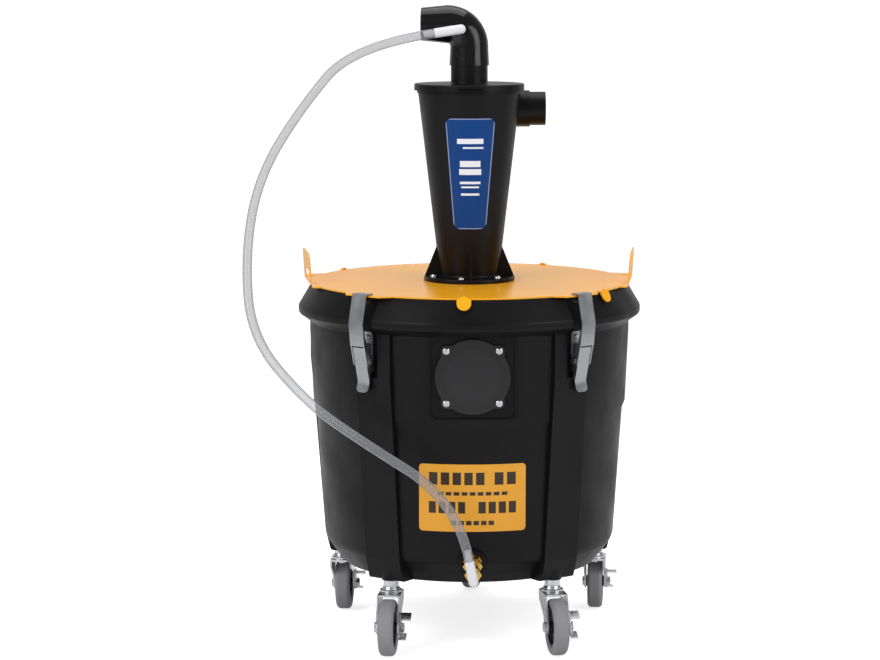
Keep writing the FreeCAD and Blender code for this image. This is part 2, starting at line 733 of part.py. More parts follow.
def lid_tongue(body, spin):
    """A tab bent down over the slope of the rim, with a round end."""
    root = lid_radius + 3.5
    block(body, "XY_Plane", [box_outline(tongue_width / 2, -root, 10 - lid_radius)],
          sheet_thickness, middle=lid_underside + sheet_thickness / 2, spin=spin)
    straight = tongue_length - tongue_width / 2
    level = lid_underside + 1
    block(body, "XZ_Plane", [box_outline(tongue_width / 2, -straight, 0)],
          sheet_thickness, spin=spin, tilt=-tongue_slope,
          at=(root * sine(spin), level, root * cosine(spin)))
    block(body, "XZ_Plane", [(0, -straight, tongue_width / 2)],
          sheet_thickness, spin=spin, tilt=-tongue_slope,
          at=(root * sine(spin), level, root * cosine(spin)))


def flange_holes(body, middle):
    block(body, "XY_Plane", [
        (flange_bolt_circle / 2 * sine(angle), -flange_bolt_circle / 2 * cosine(angle), screw_shank + 0.2)
        for angle in screw_angles
    ], 30, middle=middle, cut=True)


def lid_gasket():
    body = new_body("LidGasket")
    turned(body, [
        (lip_radius - lip_width, lip_height),
        (lip_radius - 1, lip_height),
        (lip_radius - 1, lid_underside),
        (lip_radius - lip_width, lid_underside),
    ])
    return finish(body, "lid_gasket")


def cyclone_levels():
    seat = lid_underside + sheet_thickness
    base = seat + seat_thickness
    return seat, base, base + cone_rise + 5


def cyclone_gasket():
    seat, base, top = cyclone_levels()
    body = new_body("CycloneGasket")
    block(body, "XY_Plane", [(0, 0, flange_radius - 0.5), (0, 0, lid_hole)],
          seat_thickness, middle=seat + seat_thickness / 2)
    flange_holes(body, seat)
    return finish(body, "cyclone_gasket")


def cyclone_body():
    seat, base, top = cyclone_levels()
    body = new_body("CycloneBody")
    collar = cone_high_radius + 1.5
    turned(body, [
        (0, base),
        (flange_radius, base),
        (flange_radius, base + flange_thickness, 1.5),
        (cone_low_radius, base + flange_thickness, 3),
        (cone_high_radius, top - collar_rise),
        (collar, top - collar_rise),
        (collar, top),
        (0, top),
    ])
    for angle in (1, 91, 181, 271):
        block(body, "YZ_Plane", [radial([
            (cone_low_radius - 2, base + flange_thickness - 1),
            (flange_radius - 2, base + flange_thickness - 1),
            (flange_radius - 2, base + flange_thickness + 2),
            (cone_low_radius + 4, base + flange_thickness + gusset_rise),
            (cone_low_radius - 2, base + flange_thickness + gusset_rise),
        ])], gusset_width, spin=angle)
    block(body, "YZ_Plane", [(inlet_offset, inlet_height, inlet_radius)],
          inlet_shoulder, middle=inlet_shoulder / 2)
    block(body, "YZ_Plane", [(inlet_offset, inlet_height, spigot_radius)],
          inlet_end, middle=inlet_end / 2)
    turned(body, [
        (0, base - 1),
        (cone_low_radius - cyclone_wall, base - 1),
        (cone_low_radius - cyclone_wall, base + flange_thickness),
        (cone_high_radius - cyclone_wall, top - collar_rise),
        (cone_high_radius - cyclone_wall, top + 1),
        (0, top + 1),
    ], cut=True)
    block(body, "YZ_Plane", [(inlet_offset, inlet_height, inlet_bore)],
          inlet_end + 20, middle=inlet_end / 2 + 10, cut=True)
    flange_holes(body, base)
    return finish(body, "cyclone_body")


def cyclone_cap():
    seat, base, top = cyclone_levels()
    body = new_body("CycloneCap")
    tube_inside = outlet_radius - outlet_wall
    turned(body, [
        (tube_inside, top - finder_depth),
        (outlet_radius, top - finder_depth),
        (outlet_radius, top, 2),
        (cone_high_radius + 1.5 + gap, top),
        (cone_high_radius + 1.5 + gap, top - skirt_height),
        (cap_radius, top - skirt_height),
        (cap_radius, top + cap_thickness, 1.5),
        (outlet_radius, top + cap_thickness, 2),
        (outlet_radius, top + cap_thickness + outlet_rise),
        (tube_inside, top + cap_thickness + outlet_rise),
    ])
    block(body, "XY_Plane", [[
        (-latch_slot_width / 2, -cap_radius - 4),
        (latch_slot_width / 2, -cap_radius - 4),
        (latch_slot_width / 2, 4 - cap_radius),
        (-latch_slot_width / 2, 4 - cap_radius),
    ]], 3.4, middle=top - 1.7, cut=True)
    return finish(body, "cyclone_cap")


def cyclone_label():
    """A tapered panel that follows the cone."""
    seat, base, top = cyclone_levels()
    low = base + flange_thickness
    rise = top - collar_rise - low
    inner = taper("PanelInner", cone_low_radius + glue, cone_high_radius + glue, rise, (0, 0, low))
    skin = glue + film
    outer = taper("PanelOuter", cone_low_radius + skin, cone_high_radius + skin, rise, (0, 0, low))
    band = less("PanelBand", outer, inner)
    trim = new_body("PanelTrim")
    block(trim, "XZ_Plane", [[
        (-22, base + 74, 10),
        (22, base + 74, 10),
        (34, base + 226, 8),
        (-34, base + 226, 8),
    ]], 60, middle=cone_high_radius - 12)
    return finish(shared("CycloneLabel", [band, trim]), "cyclone_label")


def flange_fixings():
    seat, base, top = cyclone_levels()
    face = base + flange_thickness
    screws = []
    nuts = new_body("FlangeNuts")
    under = lid_underside - nut_height / 2
    for number, angle in enumerate(screw_angles):
        x = flange_bolt_circle / 2 * sine(angle)
        y = -flange_bolt_circle / 2 * cosine(angle)
        screws.append(pan_screw("FlangeScrew%d" % number, screw_head, screw_head_height, screw_shank,
                                face - lid_underside + nut_height + 1, (x, y, face), (0, 0, -1)))
        block(nuts, "XY_Plane", [hexagon(nut_radius * math.sqrt(3), x, y), (x, y, screw_shank)],
              nut_height, middle=under)
    finish(gathered("FlangeScrews", screws), "flange_screws")
    finish(nuts, "flange_nuts")


def bend(name, tube, centre_height):
    """A quarter of a ring that joins the vertical socket to the side leg."""
    ring = doc.addObject("Part::Torus", name)
    ring.setExpression("Radius1", bend_radius.text)
    ring.setExpression("Radius2", sized(tube).text)
    ring.Angle3 = 90
    turn = FreeCAD.Rotation(FreeCAD.Vector(0, 0, 1), -elbow_turn.number)
    ring.Placement = FreeCAD.Placement(
        FreeCAD.Vector(0, 0, 0), turn.multiply(FreeCAD.Rotation(FreeCAD.Vector(1, 0, 0), 90)))
    ring.setExpression("Placement.Base.x", (-bend_radius * cosine(elbow_turn)).text)
    ring.setExpression("Placement.Base.y", (bend_radius * sine(elbow_turn)).text)
    ring.setExpression("Placement.Base.z", sized(centre_height).text)
    return ring


def outlet_elbow():
    seat, base, top = cyclone_levels()
    turn_height = elbow_base + socket_rise + 2
    axis_height = turn_height + bend_radius
    leg = mouth_reach - bend_radius
    side = (-1, 0, 0)
    outside = joined("ElbowOutside", [
        taper("ElbowSocket", socket_radius, bend_tube, socket_rise, (0, 0, elbow_base)),
        rod("ElbowNeck", bend_tube, 4, (0, 0, turn_height - 4)),
        bend("ElbowBend", bend_tube, turn_height),
        taper("ElbowLeg", bend_tube, mouth_radius, leg, (-bend_radius, 0, axis_height), side, -elbow_turn),
    ])
    inside = joined("ElbowInside", [
        rod("ElbowSocketBore", outlet_radius + 0.05, top + cap_thickness + outlet_rise - elbow_base + 1,
            (0, 0, elbow_base - 1)),
        rod("ElbowNeckBore", elbow_bore, 10, (0, 0, turn_height - 10)),
        bend("ElbowBendBore", elbow_bore, turn_height),
        rod("ElbowLegBore", elbow_bore, leg + 2, (-bend_radius, 0, axis_height), side, -elbow_turn),
        rod("ElbowSideBore", 5.5, 20, barb_tap_point(), (0, 1, 0)),
    ])
    return finish(less("OutletElbow", outside, inside), "outlet_elbow")


def barb_tap_point():
    """Where the axis of the hose fitting meets the front of the elbow."""
    return (-12, -29, elbow_base + 50)


def ball(name, radius, at):
    shape = doc.addObject("Part::Sphere", name)
    shape.setExpression("Radius", sized(radius).text)
    for axis, entry in zip("xyz", at):
        shape.setExpression("Placement.Base." + axis, sized(entry).text)
    return shape


def elbow_fitting(name, corner, shank_axis, shank_reach, plug_length, leg_axis, leg_length, plug_radius):
    """A moulded hose fitting: a plug, a round corner, a leg and a barb for the hose."""
    leg_tip = [sized(entry) + step * leg_length for entry, step in zip(corner, leg_axis)]
    plug_root = [sized(entry) + step * shank_reach for entry, step in zip(corner, shank_axis)]
    ridge = [entry + step * 4 for entry, step in zip(leg_tip, leg_axis)]
    return joined(name, [
        rod(name + "_plug", plug_radius, plug_length, plug_root, shank_axis),
        rod(name + "_neck", barb_body, shank_reach, corner, shank_axis),
        ball(name + "_corner", barb_body, corner),
        rod(name + "_leg", barb_body, leg_length, corner, leg_axis),
        rod(name + "_barb", barb_radius - 0.6, barb_length, leg_tip, leg_axis),
        taper(name + "_ridge", barb_radius, barb_radius - 0.6, 5, ridge, leg_axis),
    ])


def unit(vector):
    length = math.sqrt(sum(entry * entry for entry in vector))
    return [entry / length for entry in vector]


elbow_leg_axis = unit((-0.989, 0, -0.148))
elbow_corner = (-12, -35, 834)
elbow_leg_length = 36.4
port_axis = unit((0, -math.cos(math.radians(14)), -math.sin(math.radians(14))))
drain_leg_axis = unit((-20.5, -0.1, 108.3))
drain_leg_length = 29
fitting_reach = 57


def port_point(distance):
    """A point on the tilted axis of the drain port, measured outwards from the boss face."""
    return (0, -port_face - distance * cosine(port_tilt), port_height - distance * sine(port_tilt))


def port_at(distance):
    x, y, z = port_point(distance)
    return (0, z, -y)


def drain_fitting():
    inward = [-entry for entry in port_axis]
    fitting = elbow_fitting("DrainBarb", port_point(fitting_reach), inward, fitting_reach - port_length,
                            10, drain_leg_axis, drain_leg_length, 5.4)
    return finish(fitting, "drain_barb")


def elbow_barb():
    fitting = elbow_fitting("ElbowBarb", elbow_corner, (0, 1, 0), 8.4, 9.8,
                            elbow_leg_axis, elbow_leg_length, 5.5)
    return finish(fitting, "elbow_barb")


# Bend points of the hose, from the elbow fitting to the drain fitting.
hose_points = [
    (-48.0, -35.0, 828.6),
    (-158.4, -35.0, 811.9),
    (-231.0, -41.5, 727.0),
    (-288.1, -54.2, 634.0),
    (-306.6, -71.6, 531.4),
    (-298.0, -101.4, 420.5),
    (-222.9, -166.1, 342.6),
    (-153.1, -219.2, 301.3),
    (-20.5, -259.4, 223.5),
    (-5.4, -259.3, 143.7),
]
bend_share = 0.45


def hose_path(points):
    """Straight runs joined by tangent arcs; returns the wire, its length and the arc radii."""
    spots = [FreeCAD.Vector(*point) for point in points]
    edges = []
    radii = []
    start = spots[0]
    for before, corner, after in zip(spots, spots[1:], spots[2:]):
        half = (corner - before).getAngle(after - corner) / 2
        radius = bend_share * min((corner - before).Length, (after - corner).Length) / math.tan(half)
        back, middle, ahead = corner_cut(before, corner, after, radius)
        edges.append(Part.LineSegment(start, back).toShape())
        edges.append(Part.Arc(back, middle, ahead).toShape())
        radii.append(radius)
        start = ahead
    edges.append(Part.LineSegment(start, spots[-1]).toShape())
    return Part.Wire(edges), sum(edge.Length for edge in edges), radii


def hose():
    path, length, radii = hose_path(hose_points)
    print("hose arc radii in mm:", [round(radius) for radius in radii])
    start = FreeCAD.Vector(*hose_points[0])
    ahead = FreeCAD.Vector(*hose_points[1]) - start
    tubes = []
    for radius in (sheet.get("hose_radius"), sheet.get("hose_bore_radius")):
        ring = Part.Wire([Part.makeCircle(radius, start, ahead)])
        tubes.append(path.makePipeShell([ring], True, False))
    shape = tubes[0].cut(tubes[1])
    section = math.pi * (sheet.get("hose_radius") ** 2 - sheet.get("hose_bore_radius") ** 2)
    print("hose length %.0f mm, volume over section times length %.4f" % (length, shape.Volume / section / length))
    tube = doc.addObject("Part::Feature", "Hose")
    tube.Shape = shape
    return finish(tube, "hose")


def corner_name_label(kind, corner):
    return "%s_%s" % (kind, corner)


def caster_stems():
    """All five stems with their collars, upper raceways and riveted king pins."""
    stems = []
    pin = stem_radius - 0.5
    race = fork_top + fork_sheet + 3 + gap
    for corner, spin in caster_spin.items():
        body = new_body("Stem_" + corner)
        turned(body, [
            (0, fork_top - 4.3),
            (7.5, fork_top - 4.3, 1),
            (7.5, fork_top - gap),
            (pin, fork_top - gap),
            (pin, race),
            (race_radius - 2.5, race),
            (race_radius - 2.5, race + 1.5),
            (stem_collar, race + 5),
            (stem_collar, floor_height),
            (stem_radius, floor_height),
            (stem_radius, floor_height + socket_depth - 1),
            (0, floor_height + socket_depth - 1),
        ])
        carry(body, caster_circle * sine(spin), -caster_circle * cosine(spin), 0, 0)
        stems.append(body)
    return finish(gathered("CasterStems", stems), "caster_stems")


def place_caster(body, corner):
    spin = caster_spin[corner]
    carry(body, caster_circle * sine(spin), -caster_circle * cosine(spin), 0, caster_yaw[corner])


def caster_fork(corner):
    """A pressed fork: crown, two legs that lean back to the axle, and the lower raceway."""
    body = new_body("Fork_" + corner)
    crown = fork_top + fork_sheet
    outer = fork_inner + fork_sheet
    block(body, "XY_Plane", [[
        (-outer, -trail + 5, 4),
        (outer, -trail + 5, 4),
        (outer, 18, 9),
        (-outer, 18, 9),
    ]], fork_sheet, middle=fork_top + fork_sheet / 2)
    leg = radial([
        (trail - 5, crown, 4),
        (trail + 9.5, wheel_radius + 8, 20),
        (trail + 9.5, wheel_radius - 9.5, 9),
        (trail - 9.5, wheel_radius - 9.5, 9),
        (trail - 14, wheel_radius + 12, 20),
        (-15, crown - 12, 10),
        (-15, crown),
    ])
    for side in (-1, 1):
        block(body, "YZ_Plane", [leg], fork_sheet, middle=side * (fork_inner + fork_sheet / 2))
    block(body, "XY_Plane", [(0, 0, race_radius)], 3.4, middle=crown + 1.3)
    block(body, "XY_Plane", [(0, 0, stem_radius - 0.5 + running)], 30, middle=crown, cut=True)
    block(body, "YZ_Plane", [(-trail, wheel_radius, axle_radius)], outer * 2 + 4, cut=True)
    place_caster(body, corner)
    return finish(body, corner_name_label("fork", corner))


def caster_axle(corner, side):
    """The axle bolt: a round head outside one leg and a nut outside the brake."""
    body = new_body("Axle_" + corner)
    outer = fork_inner + fork_sheet
    tip = outer + gap + brake_sheet + gap
    middle = (tip + 4 - outer) / 2
    spot = (-trail, wheel_radius)
    block(body, "YZ_Plane", [spot + (axle_radius,)], outer + tip + 4, middle=side * middle)
    block(body, "YZ_Plane", [spot + (axle_radius + 2.8,)], 3, middle=-side * (outer + 1.5))
    block(body, "YZ_Plane", [hexagon(12, *spot)], 3.4, middle=side * (tip + 1.7))
    place_caster(body, corner)
    return finish(body, corner_name_label("axle", corner))


def caster_tyre(corner):
    """A soft tread with round shoulders, moulded on the hub."""
    body = new_body("Tyre_" + corner)
    half = wheel_width / 2
    ring = wheel_turn(body, [
        (hub_radius, -half + 2),
        (hub_radius + 3, -half),
        (wheel_radius, -half),
        (wheel_radius, half),
        (hub_radius + 3, half),
        (hub_radius, half - 2),
    ])
    doc.recompute([ring], True)
    round_edges(body, ring, shoulder, on_the_tread)
    place_caster(body, corner)
    return finish(body, corner_name_label("tyre", corner))


def on_the_tread(edge):
    return hasattr(edge.Curve, "Radius") and abs(edge.Curve.Radius - wheel_radius.number) < 0.01


def round_edges(body, feature, radius, chosen):
    """Rounds the edges of a feature that pass the test."""
    names = []
    for number, edge in enumerate(feature.Shape.Edges):
        if chosen(edge):
            names.append("Edge%d" % (number + 1))
    rounds = body.newObject("PartDesign::Fillet", body.Name + "_rounds")
    rounds.Base = (feature, names)
    rounds.Radius = radius.number
    rounds.setExpression("Radius", radius.text)
    body.Tip = rounds
    return rounds


def wheel_turn(body, outline):
    """A solid of revolution about the axle; the outline holds (radius, side) corners."""
    shifted = [(item[1], sized(item[0]) + 0) + tuple(item[2:]) for item in outline]
    sketch = frame_sketch(body, "XZ_Plane", at=(0, wheel_radius, trail))
    draw_outline(sketch, shifted)
    feature = body.newObject("PartDesign::Revolution", body.Name + "_turn")
    feature.Profile = sketch
    feature.ReferenceAxis = (sketch, ["H_Axis"])
    feature.Angle = 360
    body.Tip = feature
    return feature


def caster_hub(corner):
    """A dished wheel centre with a long boss around the axle."""
    body = new_body("Hub_" + corner)
    bore = axle_radius + running
    end = fork_inner - gap
    rim = wheel_width / 2 - 2
    web = 4
    wheel_turn(body, [
        (bore, -end),
        (boss_radius, -end),
        (boss_radius, -web, 2),
        (hub_radius - 4, -web, 2),
        (hub_radius - 3, -rim),
        (hub_radius, -rim),
        (hub_radius, rim),
        (hub_radius - 3, rim),
        (hub_radius - 4, web, 2),
        (boss_radius, web, 2),
        (boss_radius, end),
        (bore, end),
    ])
    place_caster(body, corner)
    return finish(body, corner_name_label("hub", corner))


def caster_brake(corner, side):
    """A rocking brake plate on the axle with two foot tabs that stand outwards."""
    body = new_body("Brake_" + corner)
    inner = fork_inner + fork_sheet + gap
    face = side * (inner + brake_sheet / 2)
    hole = axle_radius + running
    block(body, "YZ_Plane", [(-trail, wheel_radius, 9.5)], brake_sheet, middle=face)
    block(body, "YZ_Plane", [[
        (-trail - 6, wheel_radius + 2),
        (-trail + 8, wheel_radius - 2),
        (-trail + 9, wheel_radius + 19, 3),
        (-trail - 3, wheel_radius + 19, 3),
    ]], brake_sheet, middle=face)
    block(body, "YZ_Plane", [[
        (-trail - 16, wheel_radius - 11, 3),
        (-trail - 4, wheel_radius - 11, 3),
        (-trail + 4, wheel_radius + 2),
        (-trail - 8, wheel_radius + 4),
    ]], brake_sheet, middle=face)
    # The foot tabs, one above the axle and one below.
    upper = radial([(trail + 4, wheel_radius + 11), (trail - 8, wheel_radius + 17),
                    (trail - 9, wheel_radius + 19), (trail + 3, wheel_radius + 13)])
    lower = radial([(trail + 17, wheel_radius - 13), (trail + 5, wheel_radius - 8),
                    (trail + 4, wheel_radius - 6), (trail + 16, wheel_radius - 11)])
    block(body, "YZ_Plane", [upper], 15, middle=side * (inner + 7.5))
    block(body, "YZ_Plane", [lower], 10, middle=side * (inner + 5))
    block(body, "YZ_Plane", [(-trail, wheel_radius, hole)], 90, cut=True)
    place_caster(body, corner)
    return finish(body, corner_name_label("brake", corner))


def latch_base():
    """A bracket on each recess floor, with two ears around the lever pivot."""
    brackets = []
    ear_inner = base_width / 2 - 3.5
    for corner, spin in latch_plan.items():
        body = new_body("Base_" + corner)
        floor = recess_radius
        face = floor + base_sheet
        block(body, "XZ_Plane", [box_outline(base_width / 2, ledge_height + 8, 437, 4)],
              base_sheet, middle=floor + base_sheet / 2)
        for side in (-1, 1):
            block(body, "YZ_Plane", [radial([
                (face - 1, fulcrum_height - 14),
                (fulcrum_reach + 4.5, fulcrum_height - 5, 4),
                (fulcrum_reach + 4.5, fulcrum_height + 5, 4),
                (face - 1, fulcrum_height + 5),
            ])], 2, middle=side * (ear_inner + 1))
        block(body, "YZ_Plane", [(-fulcrum_reach, fulcrum_height, pin_radius)], 60, cut=True)
        block(body, "XZ_Plane", [(0, height, pin_radius) for height in (392, 430)], 40, middle=floor, cut=True)
        carry(body, 0, 0, 0, spin)
        brackets.append(body)
    return finish(gathered("LatchBases", brackets), "latch_bases")


def latch_rivets():
    """Two rivets hold each bracket on the wall."""
    rivets = []
    face = recess_radius + base_sheet
    for corner, spin in latch_plan.items():
        for number, height in enumerate((392, 430)):
            rivets.append(pan_screw("Rivet_%s_%d" % (corner, number), 3.6, 2, pin_radius,
                                    face - recess_radius, (0, -face, height), (0, 1, 0), spin))
    return finish(gathered("LatchRivets", rivets), "latch_rivets")


def latch_pins():
    """The pivot pins of the levers."""
    pins = []
    half = lever_width / 2
    for corner, spin in latch_plan.items():
        low = (-half, -fulcrum_reach, fulcrum_height)
        pins.append(rod("Fulcrum_" + corner, pin_radius, half * 2, low, (1, 0, 0), spin))
    return finish(gathered("LatchPins", pins), "latch_pins")


def sheet_strip(path, thickness):
    """The outline of a bent sheet seen from the side: the path first, then its other face."""
    spots = [FreeCAD.Vector(x, z, 0) for x, z in path]
    back = []
    for place, spot in enumerate(spots):
        before = spots[max(place - 1, 0)]
        after = spots[min(place + 1, len(spots) - 1)]
        first = (spot - before) if place else (after - spot)
        second = (after - spot) if place < len(spots) - 1 else first
        first.normalize()
        second.normalize()
        middle = first + second
        middle.normalize()
        normal = FreeCAD.Vector(middle.y, -middle.x, 0)
        back.append(spot + normal * (thickness / middle.dot(first)))
    return list(path) + [(spot.x, spot.y) for spot in reversed(back)]


def latch_lever(corner, spin):
    """A channel-shaped lever with a flared lip, carrying the pin of the strap."""
    body = new_body("Lever_" + corner)
    half = lever_width / 2
    root = fulcrum_reach.number
    level = fulcrum_height.number
    path = [(root + 8, level + 2.5), (root - 3, level - 44), (root + 1.5, level - 58)]
    strip = block(body, "YZ_Plane", [radial(sheet_strip(path, 1.8))], lever_width)
    doc.recompute([strip], True)
    round_edges(body, strip, lip_round, lambda edge: edge.Length < 2.2 and edge.CenterOfMass.z < level - 55)
    flange = radial([
        (fulcrum_reach + 7, fulcrum_height + 2.5),
        (fulcrum_reach - 3.5, fulcrum_height - 42.5),
        (fulcrum_reach - 6, fulcrum_height - 42),
        (fulcrum_reach - 5.7, fulcrum_height - 23),
        (fulcrum_reach - 4.5, fulcrum_height + 3),
        (fulcrum_reach - 2, fulcrum_height + 5.2),
        (fulcrum_reach + 3.5, fulcrum_height + 5.2),
    ])
    for side in (-1, 1):
        block(body, "YZ_Plane", [flange], lever_sheet, middle=side * (half - lever_sheet / 2))
    block(body, "YZ_Plane", [(-fulcrum_reach, fulcrum_height, pin_radius + running)], 60, cut=True)
    block(body, "YZ_Plane", [(-knuckle_reach, knuckle_height, pin_radius)], 60, cut=True)
    carry(body, 0, 0, 0, spin)
    reach = strap_width / 2
    pin = rod("Knuckle_" + corner, pin_radius, reach * 2, (-reach, -knuckle_reach, knuckle_height), (1, 0, 0), spin)
    heads = [
        rod("KnuckleHead_%s_%d" % (corner, side), pin_radius + 1.5, 2,
            (side * (reach + gap), -knuckle_reach, knuckle_height), (side, 0, 0), spin)
        for side in (-1, 1)
    ]
    stubs = [
        rod("KnuckleStub_%s_%d" % (corner, side), pin_radius, 1,
            (side * (reach - 0.5), -knuckle_reach, knuckle_height), (side, 0, 0), spin)
        for side in (-1, 1)
    ]
    pinned = joined("KnucklePin_" + corner, [pin] + heads + stubs)
    return finish(gathered("LatchLever_" + corner, [body, pinned]), corner_name_label("latch_lever", corner))


def latch_strap(corner, spin):
    """A strap that claws over the lid ear and runs down to a channel on the lever pin."""
    body = new_body("Strap_" + corner)
    half = strap_width / 2
    root = knuckle_reach.number
    level = knuckle_height.number
    path = [(224, 489.2), (237.6, 489.2), (root + 15.5, level + 50), (root + 12.1, level + 20.5)]
    block(body, "YZ_Plane", [radial(sheet_strip(path, 1.8))], strap_width)
    block(body, "YZ_Plane", [radial([
        (226.5, 477.5),
        (238.6, 477.5),
        (238.6, 479.3),
        (226.5, 479.3),
    ])], strap_width)
    flange = radial([
        (knuckle_reach + 14.5, knuckle_height + 50),
        (knuckle_reach + 11.3, knuckle_height + 20.5),
        (knuckle_reach + 5, knuckle_height - 8, 5),
        (knuckle_reach - 4.2, knuckle_height - 6, 4),
        (knuckle_reach - 4.2, knuckle_height + 6, 4),
        (knuckle_reach + 6, knuckle_height + 22),
    ])
    for side in (-1, 1):
        block(body, "YZ_Plane", [flange], strap_sheet, middle=side * (half - strap_sheet / 2))
    block(body, "YZ_Plane", [(-knuckle_reach, knuckle_height, pin_radius + running)], 60, cut=True)
    carry(body, 0, 0, 0, spin)
    return finish(body, corner_name_label("latch_strap", corner))


def build():
    doc.recompute()
    bin_shell()
    window_pane()
    window_seal()
    window_fixings()
    bin_label()
    port_bulkhead()
    drain_fitting()
    lid_plate()
    lid_gasket()
    cyclone_gasket()
    cyclone_body()
    cyclone_cap()
    cyclone_label()
    flange_fixings()
    outlet_elbow()
    elbow_barb()
    hose()
    caster_stems()
    latch_base()
    latch_rivets()
    latch_pins()
    for corner, spin in latch_plan.items():
        latch_lever(corner, spin)
        latch_strap(corner, spin)
    for corner, (direction, yaw, side) in caster_plan.items():
        caster_fork(corner)
        caster_axle(corner, side)
        caster_tyre(corner)
        caster_hub(corner)
        caster_brake(corner, side)


def export():
    """Checks every object of the document, then writes one file for each sub-part."""
    doc.recompute()
    faults = []
    for entry in doc.Objects:
        if "Invalid" in entry.State or "Error" in entry.State:
            faults.append(entry.Name)
    for shape in finished:
        if shape.Shape.isNull() or not shape.Shape.isValid() or shape.Shape.Volume <= 0:
            faults.append(shape.Label)
    if faults:
        raise RuntimeError("not built: " + ", ".join(faults))
    for shape in finished:
        shape.Shape.exportStep("parts/%s.step" % shape.Label)
        print("%-26s %2d solids %10.1f mm3" % (shape.Label, len(shape.Shape.Solids), shape.Shape.Volume))


build()
export()
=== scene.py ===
import bpy
import json
import math
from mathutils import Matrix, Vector

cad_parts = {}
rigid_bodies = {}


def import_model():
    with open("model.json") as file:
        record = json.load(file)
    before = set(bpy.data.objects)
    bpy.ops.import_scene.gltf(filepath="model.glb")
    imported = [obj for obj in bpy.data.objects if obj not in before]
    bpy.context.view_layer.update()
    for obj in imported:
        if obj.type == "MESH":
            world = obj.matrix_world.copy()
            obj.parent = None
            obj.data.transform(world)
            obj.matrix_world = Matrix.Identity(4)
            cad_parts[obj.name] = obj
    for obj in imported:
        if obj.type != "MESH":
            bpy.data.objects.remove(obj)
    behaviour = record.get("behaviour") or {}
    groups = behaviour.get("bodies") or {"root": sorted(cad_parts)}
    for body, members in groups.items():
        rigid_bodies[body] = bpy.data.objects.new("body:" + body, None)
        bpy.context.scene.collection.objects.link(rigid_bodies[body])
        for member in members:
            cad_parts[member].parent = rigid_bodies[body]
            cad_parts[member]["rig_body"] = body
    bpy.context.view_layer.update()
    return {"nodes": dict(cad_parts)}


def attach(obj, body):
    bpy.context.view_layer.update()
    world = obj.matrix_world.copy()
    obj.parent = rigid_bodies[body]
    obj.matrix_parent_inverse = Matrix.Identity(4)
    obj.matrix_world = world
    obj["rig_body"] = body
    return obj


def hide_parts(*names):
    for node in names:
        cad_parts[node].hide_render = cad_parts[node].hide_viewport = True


bl_info = {
    "name": "Dust collector",
    "version": (1, 0, 0),
    "blender": (4, 5, 0),
    "location": "3D View > Sidebar > Dust collector",
    "description": "Finishes, fittings and studio for the wheeled cyclone dust collector",
    "category": "Object",
}

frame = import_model()
MM = 0.001
WINDOW_HEIGHT = 0.382
WINDOW_SCREW_REACH = 0.035
WINDOW_SCREW_FACE = -0.2175
WINDOW_DISC = 36.5 * MM
FLANGE_SCREW_REACH = 0.052
FLANGE_TOP = 0.493
FLANGE_SCREW_FIRST, FLANGE_SCREW_STEP, FLANGE_SCREWS = -73, 60, 6
CORNERS = ("front_left", "front_right", "rear_right", "rear_centre", "rear_left")
LATCHES = ("front_left", "front_right", "rear")
HOSE_ROUTE = [
    (-0.0480, -0.0350, 0.8286),
    (-0.1584, -0.0350, 0.8119),
    (-0.2310, -0.0415, 0.7270),
    (-0.2881, -0.0542, 0.6340),
    (-0.3066, -0.0716, 0.5314),
    (-0.2980, -0.1014, 0.4205),
    (-0.2229, -0.1661, 0.3426),
    (-0.1531, -0.2192, 0.3013),
    (-0.0205, -0.2594, 0.2235),
    (-0.0054, -0.2593, 0.1437),
]


def linear(text):
    """A colour written as sRGB hex, as linear values with full alpha."""
    values = [int(text[place:place + 2], 16) / 255 for place in (1, 3, 5)]
    return tuple(v / 12.92 if v <= 0.04045 else ((v + 0.055) / 1.055) ** 2.4 for v in values) + (1.0,)


def colour_property(name, description, text):
    return bpy.props.FloatVectorProperty(name=name, description=description, size=4, min=0, max=1,
                                         subtype="COLOR", default=linear(text))


class CollectorColours(bpy.types.PropertyGroup):
    """Colours of the finishes."""
    bin_plastic: colour_property("Bin plastic", "Rotomoulded polyethylene of the bin", "#0C0C0E")
    cyclone_plastic: colour_property("Cyclone plastic", "Moulded plastic of the cyclone", "#0A0A0C")
    elbow_plastic: colour_property("Elbow plastic", "Glossy pipe plastic of the elbow", "#0C0C0E")
    lid_paint: colour_property("Lid paint", "Powder coat on the lid sheet", "#FDAF1C")
    label_film: colour_property("Label film", "Printed film on the bin", "#E3A02A")
    label_ink: colour_property("Label ink", "Dark ink on the bin label", "#2A1A06")
    panel_film: colour_property("Panel film", "Printed film on the cyclone", "#003C80")
    panel_edge: colour_property("Panel edge", "Pale border of the cyclone panel", "#8C9BCB")
    tyre: colour_property("Tyre", "Soft grey rubber of the wheels", "#8E8E92")
    brass: colour_property("Brass", "Turned brass of the drain port", "#C9A35A")
    zinc: colour_property("Zinc", "Bright zinc plating", "#C4C5C8")
    steel: colour_property("Latch steel", "Satin stainless steel of the latches", "#9A9B9F")
    nylon: colour_property("Nylon", "White nylon of the hose fittings", "#E4E4E8")
    vinyl: colour_property("Vinyl", "Clear hose", "#9C9DA1")


class CollectorSizes(bpy.types.PropertyGroup):
    """Sizes of the details that are added to the frame."""
    hose_diameter: bpy.props.FloatProperty(name="Hose diameter", description="Outer diameter of the hose",
                                           default=0.013, unit="LENGTH")
    plastic_edge: bpy.props.FloatProperty(name="Moulded edge", default=0.0025, unit="LENGTH",
                                          description="Edge round of thick moulded parts")
    sheet_edge: bpy.props.FloatProperty(name="Sheet edge", description="Edge round of sheet metal",
                                        default=0.0005, unit="LENGTH")
    screw_radius: bpy.props.FloatProperty(name="Screw head radius", default=0.0047, unit="LENGTH",
                                          description="Head radius of the small screws")


